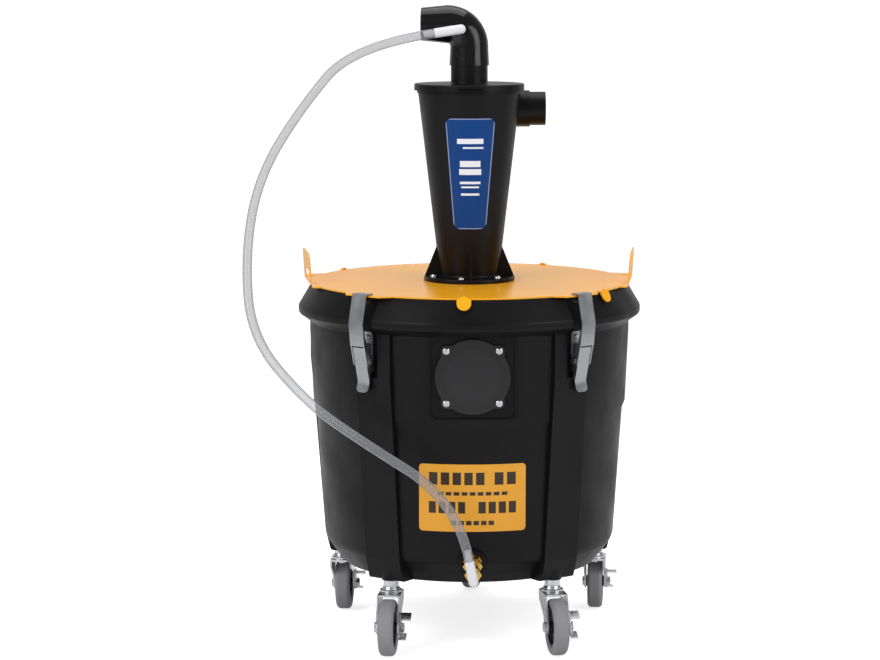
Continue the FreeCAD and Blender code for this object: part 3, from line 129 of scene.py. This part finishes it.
class CollectorStudio(bpy.types.PropertyGroup):
    """Light of the studio."""
    key_power: bpy.props.FloatProperty(name="Key lamp", description="Power of the large lamp on the left",
                                       default=46, unit="POWER")
    fill_power: bpy.props.FloatProperty(name="Fill lamp", description="Power of the lamp on the right",
                                        default=34, unit="POWER")
    top_power: bpy.props.FloatProperty(name="Top lamp", description="Power of the lamp above",
                                       default=30, unit="POWER")


def add_node(tree, kind, settings=None, links=None):
    """Adds a node with its settings and its incoming links."""
    node = tree.nodes.new(kind)
    for name, value in (settings or {}).items():
        if isinstance(name, str) and hasattr(node, name):
            setattr(node, name, value)
        else:
            node.inputs[name].default_value = value
    for name, source in (links or {}).items():
        tree.links.new(source, node.inputs[name])
    return node


def surface(name, colour, roughness, metallic=0.0, settings=None):
    """A material with one shader; returns material, node tree and shader."""
    material = bpy.data.materials.new(name)
    material.use_nodes = True
    tree = material.node_tree
    tree.nodes.clear()
    values = {"Base Color": colour, "Roughness": roughness, "Metallic": metallic}
    values.update(settings or {})
    shader = add_node(tree, "ShaderNodeBsdfPrincipled", values)
    add_node(tree, "ShaderNodeOutputMaterial", links={"Surface": shader.outputs[0]})
    return material, tree, shader


def object_coordinates(tree, stretch=(1, 1, 1)):
    place = add_node(tree, "ShaderNodeTexCoord").outputs["Object"]
    return add_node(tree, "ShaderNodeMapping", {"Scale": stretch}, {"Vector": place}).outputs[0]


def grain(tree, shader, size, depth, strength=1.0, stretch=(1, 1, 1), detail=2.0):
    """A fine relief: noise of the given size in metres, raised by depth metres."""
    noise = add_node(tree, "ShaderNodeTexNoise", {"Scale": 1 / size, "Detail": detail},
                     {"Vector": object_coordinates(tree, stretch)})
    bump = add_node(tree, "ShaderNodeBump", {"Strength": strength, "Distance": depth},
                    {"Height": noise.outputs["Fac"]})
    tree.links.new(bump.outputs[0], shader.inputs["Normal"])
    return bump


def mottle(tree, shader, size, low, high, stretch=(1, 1, 1)):
    """Slowly changing roughness, as handling and moulding leave it."""
    noise = add_node(tree, "ShaderNodeTexNoise", {"Scale": 1 / size, "Detail": 4.0},
                     {"Vector": object_coordinates(tree, stretch)})
    spread = add_node(tree, "ShaderNodeMapRange",
                      {"From Min": 0.35, "From Max": 0.65, "To Min": low, "To Max": high},
                      {"Value": noise.outputs["Fac"]})
    tree.links.new(spread.outputs[0], shader.inputs["Roughness"])


def bar_mask(tree, coordinates, bars):
    """One where the point lies in any upright box given as (centre x, centre z, half width, half height)."""
    total = None
    for x, z, half_x, half_z in bars:
        away = add_node(tree, "ShaderNodeVectorMath", {"operation": "SUBTRACT", 1: (x, 0, z)},
                        {0: coordinates})
        size = add_node(tree, "ShaderNodeVectorMath", {"operation": "ABSOLUTE"}, {0: away.outputs[0]})
        over = add_node(tree, "ShaderNodeVectorMath", {"operation": "SUBTRACT", 1: (half_x, 0, half_z)},
                        {0: size.outputs[0]})
        split = add_node(tree, "ShaderNodeSeparateXYZ", links={0: over.outputs[0]})
        worst = add_node(tree, "ShaderNodeMath", {"operation": "MAXIMUM"},
                         {0: split.outputs["X"], 1: split.outputs["Z"]})
        inside = add_node(tree, "ShaderNodeMath", {"operation": "LESS_THAN", 1: 0.0}, {0: worst.outputs[0]})
        if total is None:
            total = inside
        else:
            total = add_node(tree, "ShaderNodeMath", {"operation": "MAXIMUM"},
                             {0: total.outputs[0], 1: inside.outputs[0]})
    return total.outputs[0]


def mix_colours(tree, factor, first, second):
    """Mixes two colours; either may be a fixed colour or a socket."""
    mix = add_node(tree, "ShaderNodeMix", {"data_type": "RGBA"}, {0: factor})
    for socket, value in ((mix.inputs[6], first), (mix.inputs[7], second)):
        if isinstance(value, bpy.types.NodeSocket):
            tree.links.new(value, socket)
        else:
            socket.default_value = value
    return mix.outputs[2]


def bin_polyethylene(colours):
    # Rotomoulded polyethylene: a waxy near-black skin with a faint orange-peel and a soft sheen.
    material, tree, shader = surface("rotomoulded polyethylene", colours.bin_plastic, 0.42,
                                     settings={"IOR": 1.51, "Specular IOR Level": 0.15})
    mottle(tree, shader, 0.06, 0.36, 0.5)
    grain(tree, shader, 2.2 * MM, 0.12 * MM, 0.5)
    return material


def cyclone_polymer(colours):
    # Injection-moulded plastic with a satin skin; fine spark-eroded texture.
    material, tree, shader = surface("moulded satin plastic", colours.cyclone_plastic, 0.36,
                                     settings={"IOR": 1.5, "Specular IOR Level": 0.17})
    mottle(tree, shader, 0.05, 0.3, 0.42)
    grain(tree, shader, 1.2 * MM, 0.05 * MM, 0.4)
    return material


def elbow_polymer(colours):
    # Pipe plastic with a glossy moulded skin that shows sharp reflections.
    material, tree, shader = surface("glossy pipe plastic", colours.elbow_plastic, 0.14,
                                     settings={"IOR": 1.54, "Specular IOR Level": 0.3})
    mottle(tree, shader, 0.03, 0.11, 0.2)
    return material


def powder_coat(colours):
    # Powder coat on steel sheet: even colour, glossy, with a shallow orange-peel of about 2 mm.
    material, tree, shader = surface("amber powder-coated steel", colours.lid_paint, 0.25,
                                     settings={"IOR": 1.5, "Specular IOR Level": 0.26})
    grain(tree, shader, 2.4 * MM, 0.05 * MM, 0.35)
    return material


def zinc_plate(colours):
    # Bright zinc-plated steel: cool white metal with slightly cloudy reflections.
    material, tree, shader = surface("zinc-plated steel", colours.zinc, 0.26, 1.0)
    mottle(tree, shader, 0.012, 0.2, 0.36)
    grain(tree, shader, 1.5 * MM, 0.03 * MM, 0.3)
    return material


def satin_steel(colours):
    # Stainless sheet, tumbled after pressing: satin, with fine marks along the strap.
    material, tree, shader = surface("tumbled stainless steel", colours.steel, 0.34, 1.0)
    mottle(tree, shader, 0.02, 0.28, 0.42)
    grain(tree, shader, 1.0 * MM, 0.03 * MM, 0.35, (1, 1, 0.12))
    return material


def soft_rubber(colours):
    # Grey wheel rubber: dull, slightly dusty.
    material, tree, shader = surface("grey wheel rubber", colours.tyre, 0.62,
                                     settings={"Specular IOR Level": 0.35})
    mottle(tree, shader, 0.02, 0.55, 0.72)
    grain(tree, shader, 1.0 * MM, 0.05 * MM, 0.5)
    return material


def black_rubber(colours):
    # Closed-cell sealing rubber: flat black with an open grain.
    material, tree, shader = surface("black sealing rubber", linear("#131313"), 0.75,
                                     settings={"Specular IOR Level": 0.3})
    grain(tree, shader, 0.9 * MM, 0.08 * MM, 0.6)
    return material


def hub_polypropylene(colours):
    # Moulded polypropylene wheel centre: dark, semi-matt.
    material, tree, shader = surface("black polypropylene", linear("#1C1C1E"), 0.45,
                                     settings={"Specular IOR Level": 0.35})
    grain(tree, shader, 1.0 * MM, 0.04 * MM, 0.4)
    return material


def turned_brass(colours):
    # Brass bar, turned on a lathe: warm metal with fine rings.
    material, tree, shader = surface("turned brass", colours.brass, 0.26, 1.0)
    mottle(tree, shader, 0.008, 0.2, 0.34)
    return material


def white_nylon(colours):
    # Natural nylon: milky, lets a little light through, soft shine.
    material, tree, shader = surface("natural nylon", colours.nylon, 0.38,
                                     settings={"Subsurface Weight": 0.2, "Subsurface Scale": 0.5,
                                               "Subsurface Radius": (0.004, 0.004, 0.004)})
    mottle(tree, shader, 0.01, 0.34, 0.44)
    return material


def clear_vinyl(colours):
    # Plasticised vinyl tube: clear in the middle and denser towards its edges, with a smooth drawn skin.
    material, tree, shader = surface("clear vinyl", colours.vinyl, 0.12, settings={"IOR": 1.42})
    mottle(tree, shader, 0.03, 0.08, 0.18)
    facing = add_node(tree, "ShaderNodeLayerWeight", {"Blend": 0.35})
    dense = add_node(tree, "ShaderNodeMapRange",
                     {"From Min": 0.1, "From Max": 0.9, "To Min": 0.4, "To Max": 0.95},
                     {"Value": facing.outputs["Facing"]})
    tree.links.new(dense.outputs[0], shader.inputs["Alpha"])
    return material


def clear_pane_painted_shade(colours):
    # Clear acrylic pane, drawn opaque and glossy: its dark colour is painted shade of the bin's inside seen
    # through it, a little lighter in the disc that looks into the bin.
    material, tree, shader = surface("clear acrylic with painted interior shade", linear("#222225"), 0.1,
                                     settings={"IOR": 1.49, "Specular IOR Level": 0.4})
    mottle(tree, shader, 0.04, 0.08, 0.14)
    middle = (0, 0, WINDOW_HEIGHT)
    flat = add_node(tree, "ShaderNodeVectorMath", {"operation": "MULTIPLY", 1: (1, 0, 1)},
                    {0: object_coordinates(tree)})
    away = add_node(tree, "ShaderNodeVectorMath", {"operation": "DISTANCE", 1: middle}, {0: flat.outputs[0]})
    step = add_node(tree, "ShaderNodeMapRange",
                    {"From Min": WINDOW_DISC - 0.3 * MM, "From Max": WINDOW_DISC + 0.3 * MM,
                     "To Min": 0.0, "To Max": 1.0},
                    {"Value": away.outputs["Value"]})
    # Painted shade of the bin's dark inside seen through the pane: a little lighter in the disc, darker
    # around it.
    tree.links.new(mix_colours(tree, step.outputs[0], linear("#18181B"), linear("#101012")),
                   shader.inputs["Base Color"])
    return material


def label_material(colours):
    # Printed polyester film: flat amber ground with dark generic bars under a gloss laminate.
    material, tree, shader = surface("printed amber film", colours.label_film, 0.32,
                                     settings={"Specular IOR Level": 0.4})
    coordinates = object_coordinates(tree)
    bars = []
    for height, half, left, right, count in LABEL_ROWS:
        pitch = (right - left) / count
        for number in range(count):
            bars.append((left + (number + 0.5) * pitch, height, pitch * 0.36, half))
    ink = bar_mask(tree, coordinates, bars)
    tree.links.new(mix_colours(tree, ink, colours.label_film, colours.label_ink), shader.inputs["Base Color"])
    return material


def tapered(tree, coordinates):
    """Coordinates whose x is how far a point lies outside the slanting sides of the cyclone panel."""
    split = add_node(tree, "ShaderNodeSeparateXYZ", links={0: coordinates})
    width = add_node(tree, "ShaderNodeMapRange",
                     {"From Min": PANEL_LOW, "From Max": PANEL_HIGH, "To Min": PANEL_NARROW - PANEL_BORDER,
                      "To Max": PANEL_WIDE - PANEL_BORDER}, {"Value": split.outputs["Z"]})
    side = add_node(tree, "ShaderNodeMath", {"operation": "ABSOLUTE"}, {0: split.outputs["X"]})
    past = add_node(tree, "ShaderNodeMath", {"operation": "SUBTRACT"},
                    {0: side.outputs[0], 1: width.outputs[0]})
    outside = add_node(tree, "ShaderNodeMath", {"operation": "MAXIMUM", 1: 0.0}, {0: past.outputs[0]})
    return add_node(tree, "ShaderNodeCombineXYZ",
                    links={"X": outside.outputs[0], "Z": split.outputs["Z"]}).outputs[0]


def panel_material(colours):
    # Printed vinyl film: blue panel with a pale edge and white generic bars.
    material, tree, shader = surface("printed blue film", colours.panel_film, 0.34,
                                     settings={"Specular IOR Level": 0.2})
    coordinates = object_coordinates(tree)
    print_mask = bar_mask(tree, coordinates, PANEL_BARS)
    half_height = (PANEL_HIGH - PANEL_LOW) / 2
    field = (0.0, PANEL_LOW + half_height, 1e-6, half_height - PANEL_BORDER)
    inner = bar_mask(tree, tapered(tree, coordinates), [field])
    ground = mix_colours(tree, inner, colours.panel_edge, colours.panel_film)
    body = mix_colours(tree, print_mask, ground, linear("#E9EEF7"))
    tree.links.new(body, shader.inputs["Base Color"])
    return material


PANEL_LOW, PANEL_HIGH = 0.562, 0.714
PANEL_NARROW, PANEL_WIDE, PANEL_BORDER = 0.022, 0.034, 0.0013
# Bars on the cyclone panel: centre across, centre height, half width, half height.
PANEL_BARS = (
    (0.0, 0.683, 0.018, 0.0035),
    (0.004, 0.674, 0.014, 0.0012),
    (0.0, 0.652, 0.014, 0.0042),
    (0.0, 0.641, 0.015, 0.004),
    (0.0, 0.626, 0.014, 0.0017),
    (0.0, 0.62, 0.012, 0.0012),
    (0.0, 0.61, 0.0125, 0.0015),
)
# Blocks on the bin label: height of the row, half height, left end, right end, number of blocks.
LABEL_ROWS = (
    (0.2445, 0.0085, -0.060, 0.018, 5),
    (0.2445, 0.0085, 0.027, 0.060, 2),
    (0.2240, 0.0024, -0.048, 0.048, 9),
    (0.2050, 0.0080, -0.060, -0.008, 4),
    (0.2050, 0.0080, 0.006, 0.060, 4),
    (0.1840, 0.0030, -0.030, 0.030, 6),
)
ELBOW_FITTING = (-0.012, -0.029, 0.834)
# Collars on the fitting in the elbow: way from its corner, radius, depth, number of sides.
COLLARS = ((0.013, 0.0066, 0.0035, 6), (0.020, 0.0061, 0.0012, 40), (0.024, 0.0061, 0.0012, 40))
FINISHES = {}


def only(piece):
    """Makes one piece the whole selection."""
    if bpy.context.object and bpy.context.object.mode != "OBJECT":
        bpy.ops.object.mode_set(mode="OBJECT")
    bpy.ops.object.select_all(action="DESELECT")
    piece.select_set(True)
    bpy.context.view_layer.objects.active = piece


def paint(piece, finish):
    piece.data.materials.clear()
    piece.data.materials.append(FINISHES[finish])


def settle(piece):
    """Moves a finished piece's place into its mesh."""
    only(piece)
    bpy.ops.object.transform_apply(location=True, rotation=True, scale=True)


def smooth(piece, angle=35):
    only(piece)
    bpy.ops.object.shade_smooth_by_angle(angle=math.radians(angle))


def copy_of_node(node):
    """A separate, merged copy of a node's mesh, with flat faces made whole."""
    piece = bpy.data.objects.new(node + "_body", frame["nodes"][node].data.copy())
    bpy.context.scene.collection.objects.link(piece)
    only(piece)
    bpy.ops.mesh.customdata_custom_splitnormals_clear()
    bpy.ops.object.mode_set(mode="EDIT")
    bpy.ops.mesh.select_all(action="SELECT")
    bpy.ops.mesh.remove_doubles(threshold=1e-6)
    bpy.ops.mesh.dissolve_limited(angle_limit=math.radians(0.5))
    bpy.ops.object.mode_set(mode="OBJECT")
    return piece


def dress(node, finish, width, segments=2, angle=38):
    """Stands a copy with rounded edges in for a node."""
    piece = copy_of_node(node)
    bevel = piece.modifiers.new("edge round", "BEVEL")
    bevel.width = width
    bevel.segments = segments
    bevel.limit_method = "ANGLE"
    bevel.angle_limit = math.radians(angle)
    bevel.use_clamp_overlap = True
    bevel.miter_outer = "MITER_ARC"
    bpy.ops.object.modifier_apply(modifier=bevel.name)
    smooth(piece)
    weighted = piece.modifiers.new("flat faces", "WEIGHTED_NORMAL")
    weighted.keep_sharp = True
    paint(piece, finish)
    return stand_in(piece, node)


def node_body(node):
    return frame["nodes"][node]["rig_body"]


def stand_in(piece, node):
    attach(piece, node_body(node))
    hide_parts(node)
    return piece


def finish_node(node, finish):
    """Keeps a node's own shape and gives it a finish."""
    paint(frame["nodes"][node], finish)


def polar(radius, direction, height):
    """A point at a direction measured from the front towards +X, in degrees."""
    turn = math.radians(direction)
    return Vector((radius * math.sin(turn), -radius * math.cos(turn), height))


class CollectorOperator:
    bl_options = {"REGISTER", "UNDO"}

    def execute(self, context):
        self.make(context.scene)
        return {"FINISHED"}


class COLLECTOR_OT_finishes(CollectorOperator, bpy.types.Operator):
    """Makes the materials of all finishes."""
    bl_idname = "collector.finishes"
    bl_label = "Finishes"

    def make(self, scene):
        colours = scene.collector_colours
        FINISHES.update({
            "bin": bin_polyethylene(colours), "cyclone": cyclone_polymer(colours),
            "elbow": elbow_polymer(colours), "paint": powder_coat(colours), "zinc": zinc_plate(colours),
            "steel": satin_steel(colours), "tyre": soft_rubber(colours), "seal": black_rubber(colours),
            "hub": hub_polypropylene(colours), "brass": turned_brass(colours), "nylon": white_nylon(colours),
            "vinyl": clear_vinyl(colours), "acrylic": clear_pane_painted_shade(colours),
            "label": label_material(colours), "panel": panel_material(colours),
        })


class COLLECTOR_OT_bin(CollectorOperator, bpy.types.Operator):
    """Dresses the bin shell, its window and its label."""
    bl_idname = "collector.bin"
    bl_label = "Bin"

    def make(self, scene):
        sizes = scene.collector_sizes
        dress("bin_shell", "bin", sizes.plastic_edge, 3)
        dress("window_pane", "acrylic", 0.0006)
        dress("window_seal", "seal", 0.0003)
        finish_node("bin_label", "label")
        finish_node("lid_gasket", "seal")


class COLLECTOR_OT_lid(CollectorOperator, bpy.types.Operator):
    """Dresses the painted lid."""
    bl_idname = "collector.lid"
    bl_label = "Lid"

    def make(self, scene):
        dress("lid_plate", "paint", scene.collector_sizes.sheet_edge)


class COLLECTOR_OT_cyclone(CollectorOperator, bpy.types.Operator):
    """Dresses the cyclone, its cap, its panel and the outlet elbow."""
    bl_idname = "collector.cyclone"
    bl_label = "Cyclone"

    def make(self, scene):
        dress("cyclone_body", "cyclone", 0.0006)
        dress("cyclone_cap", "cyclone", 0.0006)
        dress("outlet_elbow", "elbow", 0.0007)
        finish_node("cyclone_gasket", "seal")
        finish_node("cyclone_label", "panel")


def pan_head(name, radius):
    """A pan head with a cross recess, standing on the origin and facing up."""
    bpy.ops.mesh.primitive_cylinder_add(vertices=32, radius=radius, depth=radius * 0.62,
                                        location=(0, 0, radius * 0.31))
    head = bpy.context.object
    head.name = name
    top = radius * 0.62
    select_faces(head, lambda face: face.normal.z > 0.9)
    bpy.ops.object.mode_set(mode="EDIT")
    bpy.ops.mesh.bevel(offset=radius * 0.34, segments=4)
    bpy.ops.object.mode_set(mode="OBJECT")
    cutters = []
    for turn in (0, 90):
        bpy.ops.mesh.primitive_cube_add(size=1, location=(0, 0, top), rotation=(0, 0, math.radians(turn)),
                                        scale=(radius * 1.05, radius * 0.24, radius * 0.5))
        cutters.append(bpy.context.object)
    for cutter in cutters:
        carve(head, cutter)
    smooth(head, 40)
    return head


def unselected_mesh(piece):
    """The mesh of a piece, with nothing in it selected."""
    only(piece)
    mesh = piece.data
    for part in (mesh.vertices, mesh.edges, mesh.polygons):
        part.foreach_set("select", [False] * len(part))
    return mesh


def select_faces(piece, test):
    """Selects the faces of a piece that pass the test, for the next edit-mode operator."""
    mesh = unselected_mesh(piece)
    chosen = [face for face in mesh.polygons if test(face)]
    if not chosen:
        raise RuntimeError("no face to work on in " + piece.name)
    for face in chosen:
        face.select = True
        for vertex in face.vertices:
            mesh.vertices[vertex].select = True
    bpy.context.tool_settings.mesh_select_mode = (False, False, True)


def select_edges(piece, test):
    """Selects the edges whose two end points pass the test."""
    mesh = unselected_mesh(piece)
    chosen = [edge for edge in mesh.edges if test([mesh.vertices[v].co for v in edge.vertices])]
    if not chosen:
        raise RuntimeError("no edge to work on in " + piece.name)
    for edge in chosen:
        edge.select = True
        for vertex in edge.vertices:
            mesh.vertices[vertex].select = True
    bpy.context.tool_settings.mesh_select_mode = (False, True, False)


def carve(piece, cutter):
    """Cuts one solid out of another."""
    only(piece)
    cut = piece.modifiers.new("cut", "BOOLEAN")
    cut.operation = "DIFFERENCE"
    cut.object = cutter
    cut.solver = "EXACT"
    bpy.ops.object.modifier_apply(modifier=cut.name)
    bpy.data.objects.remove(cutter)


def copy_to(source, name, place, direction):
    """A copy with its own mesh, its up axis turned to a direction, with its place in its mesh."""
    piece = bpy.data.objects.new(name, source.data.copy())
    bpy.context.scene.collection.objects.link(piece)
    rotation = Vector(direction).to_track_quat("Z", "Y").to_matrix().to_4x4()
    piece.matrix_world = rotation
    piece.location = place
    settle(piece)
    return piece


def join(pieces, name):
    """Joins pieces into one."""
    bpy.ops.object.select_all(action="DESELECT")
    for piece in pieces:
        piece.select_set(True)
    bpy.context.view_layer.objects.active = pieces[0]
    bpy.ops.object.join()
    whole = bpy.context.object
    whole.name = name
    return whole


class COLLECTOR_OT_screws(CollectorOperator, bpy.types.Operator):
    """Pan-head screws of the window and of the cyclone flange."""
    bl_idname = "collector.screws"
    bl_label = "Screws"

    def make(self, scene):
        radius = scene.collector_sizes.screw_radius
        head = pan_head("pan_head", radius)
        window = []
        for side in (-1, 1):
            for level in (-1, 1):
                height = WINDOW_HEIGHT + level * WINDOW_SCREW_REACH
                place = (side * WINDOW_SCREW_REACH, WINDOW_SCREW_FACE, height)
                window.append(copy_to(head, "screw", place, (0.12 * side, -1, 0.05)))
        flange = []
        for number in range(FLANGE_SCREWS):
            angle = FLANGE_SCREW_FIRST + FLANGE_SCREW_STEP * number
            flange.append(copy_to(head, "screw", polar(FLANGE_SCREW_REACH, angle, FLANGE_TOP), (0, 0, 1)))
        for pieces, node in ((window, "window_screws"), (flange, "flange_screws")):
            whole = join(pieces, node + "_heads")
            paint(whole, "zinc")
            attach(whole, "housing")
            finish_node(node, "zinc")
        bpy.data.objects.remove(head)
        finish_node("window_nuts", "zinc")
        finish_node("flange_nuts", "zinc")


class COLLECTOR_OT_drain(CollectorOperator, bpy.types.Operator):
    """The brass drain port and the nylon hose fittings."""
    bl_idname = "collector.drain"
    bl_label = "Drain and fittings"

    def make(self, scene):
        dress("port_bulkhead", "brass", 0.0005)
        dress("port_nut", "brass", 0.0005)
        dress("drain_barb", "nylon", 0.0004)
        dress("elbow_barb", "nylon", 0.0004)
        rings = []
        start, end = Vector(ELBOW_FITTING), Vector(HOSE_ROUTE[0])
        step = (end - start).normalized()
        for reach, radius, depth, sides in COLLARS:
            bpy.ops.mesh.primitive_cylinder_add(vertices=sides, radius=radius, depth=depth)
            ring = bpy.context.object
            rings.append(copy_to(ring, "collar", start + step * reach, step))
            bpy.data.objects.remove(ring)
        collars = join(rings, "elbow_barb_collars")
        smooth(collars, 35)
        paint(collars, "nylon")
        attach(collars, "housing")


class COLLECTOR_OT_hose(CollectorOperator, bpy.types.Operator):
    """The clear hose from the elbow to the drain port."""
    bl_idname = "collector.hose"
    bl_label = "Hose"

    def make(self, scene):
        sizes = scene.collector_sizes
        guide = bpy.data.curves.new("hose_guide", "CURVE")
        guide.dimensions = "3D"
        guide.resolution_u = 24
        spline = guide.splines.new("NURBS")
        spline.points.add(len(HOSE_ROUTE) - 1)
        for point, place in zip(spline.points, HOSE_ROUTE):
            point.co = (*place, 1)
        spline.order_u = 3
        spline.use_endpoint_u = True
        line = bpy.data.objects.new("hose_guide", guide)
        bpy.context.scene.collection.objects.link(line)
        bpy.context.view_layer.update()
        mesh = bpy.data.meshes.new_from_object(line)
        path = [vertex.co.copy() for vertex in mesh.vertices]
        bpy.data.objects.remove(line)
        bpy.data.meshes.remove(mesh)
        tube = tube_along(path, sizes.hose_diameter / 2, "clear_hose")
        smooth(tube, 50)
        paint(tube, "vinyl")
        stand_in(tube, "hose")


def tube_along(path, radius, name, sides=5):
    """An open tube mesh around a path of points."""
    data = bpy.data.curves.new(name, "CURVE")
    data.dimensions = "3D"
    data.bevel_depth = radius
    data.bevel_resolution = sides
    data.use_fill_caps = False
    spline = data.splines.new("POLY")
    spline.points.add(len(path) - 1)
    for point, place in zip(spline.points, path):
        point.co = (*place, 1)
    line = bpy.data.objects.new(name, data)
    bpy.context.scene.collection.objects.link(line)
    only(line)
    bpy.ops.object.convert(target="MESH")
    return bpy.context.object


class COLLECTOR_OT_latches(CollectorOperator, bpy.types.Operator):
    """The three over-centre latches."""
    bl_idname = "collector.latches"
    bl_label = "Latches"

    def make(self, scene):
        edge = scene.collector_sizes.sheet_edge
        dress("latch_bases", "steel", edge)
        dress("latch_rivets", "zinc", 0.0004)
        dress("latch_pins", "zinc", 0.0004)
        for corner in LATCHES:
            dress("latch_lever_" + corner, "steel", edge)
            dress("latch_strap_" + corner, "steel", edge)


class COLLECTOR_OT_casters(CollectorOperator, bpy.types.Operator):
    """The five swivel casters."""
    bl_idname = "collector.casters"
    bl_label = "Casters"

    def make(self, scene):
        edge = scene.collector_sizes.sheet_edge
        dress("caster_stems", "zinc", 0.0004)
        for corner in CORNERS:
            dress("fork_" + corner, "zinc", edge)
            dress("axle_" + corner, "zinc", 0.0004)
            dress("tyre_" + corner, "tyre", 0.0006)
            dress("hub_" + corner, "hub", 0.0006)
            dress("brake_" + corner, "zinc", edge)


class COLLECTOR_OT_studio(CollectorOperator, bpy.types.Operator):
    """White sweep, soft lamps and the camera at the viewing angle of the photograph."""
    bl_idname = "collector.studio"
    bl_label = "Studio"

    def make(self, scene):
        studio_sweep()
        studio = scene.collector_studio
        middle = (0, 0, 0.45)
        lamp("key lamp", (-2.1, -2.0, 1.9), middle, 1.7, studio.key_power)
        lamp("fill lamp", (2.2, -1.8, 1.6), middle, 1.7, studio.fill_power)
        lamp("top lamp", (0, 0.4, 2.7), (0, 0, 0.4), 2.0, studio.top_power)
        world = bpy.data.worlds.new("studio")
        world.use_nodes = True
        shade = world.node_tree.nodes["Background"]
        shade.inputs["Color"].default_value = linear("#FFFFFF")
        shade.inputs["Strength"].default_value = 0.32
        scene.world = world
        camera(scene)
        scene.view_settings.view_transform = "Standard"


def studio_sweep():
    """A floor that curves up into a backdrop."""
    size, back, rise = 16, -2, 6
    bpy.ops.object.select_all(action="DESELECT")
    bpy.ops.mesh.primitive_plane_add(size=size, location=(0, back, 0))
    sweep = bpy.context.object
    sweep.name = "studio_sweep"
    settle(sweep)
    select_edges(sweep, lambda ends: all(end.y > size / 2 + back - 1 for end in ends))
    bpy.ops.object.mode_set(mode="EDIT")
    bpy.ops.mesh.extrude_region_move(TRANSFORM_OT_translate={"value": (0, 0, rise)})
    bpy.ops.object.mode_set(mode="OBJECT")
    bevel = sweep.modifiers.new("curve", "BEVEL")
    bevel.width = 2.0
    bevel.segments = 24
    bpy.ops.object.modifier_apply(modifier=bevel.name)
    smooth(sweep, 60)
    material, tree, shader = surface("white paper sweep", linear("#F2F2F2"), 0.9,
                                     settings={"Specular IOR Level": 0.0,
                                               "Emission Color": linear("#FFFFFF")})
    path = add_node(tree, "ShaderNodeLightPath")
    mirrored = add_node(tree, "ShaderNodeMath", {"operation": "MAXIMUM"},
                        {0: path.outputs["Is Glossy Ray"], 1: path.outputs["Is Transmission Ray"]})
    faint = add_node(tree, "ShaderNodeMath", {"operation": "MULTIPLY", 1: 0.3}, {0: mirrored.outputs[0]})
    bright = add_node(tree, "ShaderNodeMath", {"operation": "MULTIPLY", 1: 0.72},
                      {0: path.outputs["Is Camera Ray"]})
    glow = add_node(tree, "ShaderNodeMath", {"operation": "ADD"}, {0: faint.outputs[0], 1: bright.outputs[0]})
    tree.links.new(glow.outputs[0], shader.inputs["Emission Strength"])
    sweep.data.materials.append(material)


def lamp(name, place, target, size, power):
    data = bpy.data.lights.new(name, "AREA")
    data.size = size
    data.energy = power
    lamp_object = bpy.data.objects.new(name, data)
    bpy.context.scene.collection.objects.link(lamp_object)
    lamp_object.location = place
    aim = Vector(target) - Vector(place)
    lamp_object.rotation_euler = aim.to_track_quat("-Z", "Y").to_euler()


def camera(scene):
    """The view of the photograph: far away, a little above the lid, looking down."""
    distance, height, pitch, swing = 3.8378, 0.9257, 0.132, math.radians(1.2)
    picture_width, focal_pixels, shift_pixels = 880, 2777.3, -29.3
    data = bpy.data.cameras.new("camera")
    data.sensor_width = 36
    data.lens = data.sensor_width * focal_pixels / picture_width
    data.shift_x = shift_pixels / picture_width
    view = bpy.data.objects.new("camera", data)
    scene.collection.objects.link(view)
    view.location = (-distance * math.sin(swing), -distance * math.cos(swing), height)
    view.rotation_euler = (math.pi / 2 - pitch, 0, -swing)
    scene.camera = view


class COLLECTOR_PT_pieces(bpy.types.Panel):
    """Buttons that build each group of pieces."""
    bl_label = "Dust collector"
    bl_idname = "COLLECTOR_PT_pieces"
    bl_space_type = "VIEW_3D"
    bl_region_type = "UI"
    bl_category = "Dust collector"

    def draw(self, context):
        scene = context.scene
        for group in (scene.collector_colours, scene.collector_sizes, scene.collector_studio):
            box = self.layout.box()
            for name in group.bl_rna.properties.keys():
                if name not in ("rna_type", "name"):
                    box.prop(group, name)
        for step in STEPS:
            self.layout.operator(step.bl_idname)


STEPS = (COLLECTOR_OT_finishes, COLLECTOR_OT_bin, COLLECTOR_OT_lid, COLLECTOR_OT_cyclone,
         COLLECTOR_OT_screws, COLLECTOR_OT_drain, COLLECTOR_OT_hose, COLLECTOR_OT_latches,
         COLLECTOR_OT_casters, COLLECTOR_OT_studio)
GROUPS = {"collector_colours": CollectorColours, "collector_sizes": CollectorSizes,
          "collector_studio": CollectorStudio}


def register():
    for name, group in GROUPS.items():
        bpy.utils.register_class(group)
        setattr(bpy.types.Scene, name, bpy.props.PointerProperty(type=group))
    for kind in STEPS + (COLLECTOR_PT_pieces,):
        bpy.utils.register_class(kind)


def unregister():
    for kind in reversed(STEPS + (COLLECTOR_PT_pieces,)):
        bpy.utils.unregister_class(kind)
    for name, group in GROUPS.items():
        delattr(bpy.types.Scene, name)
        bpy.utils.unregister_class(group)


def main():
    register()
    bpy.ops.object.select_all(action="DESELECT")
    for step in STEPS:
        group, name = step.bl_idname.split(".")
        getattr(getattr(bpy.ops, group), name)()
    bpy.ops.object.select_all(action="DESELECT")


if __name__ == "__main__":
    main()
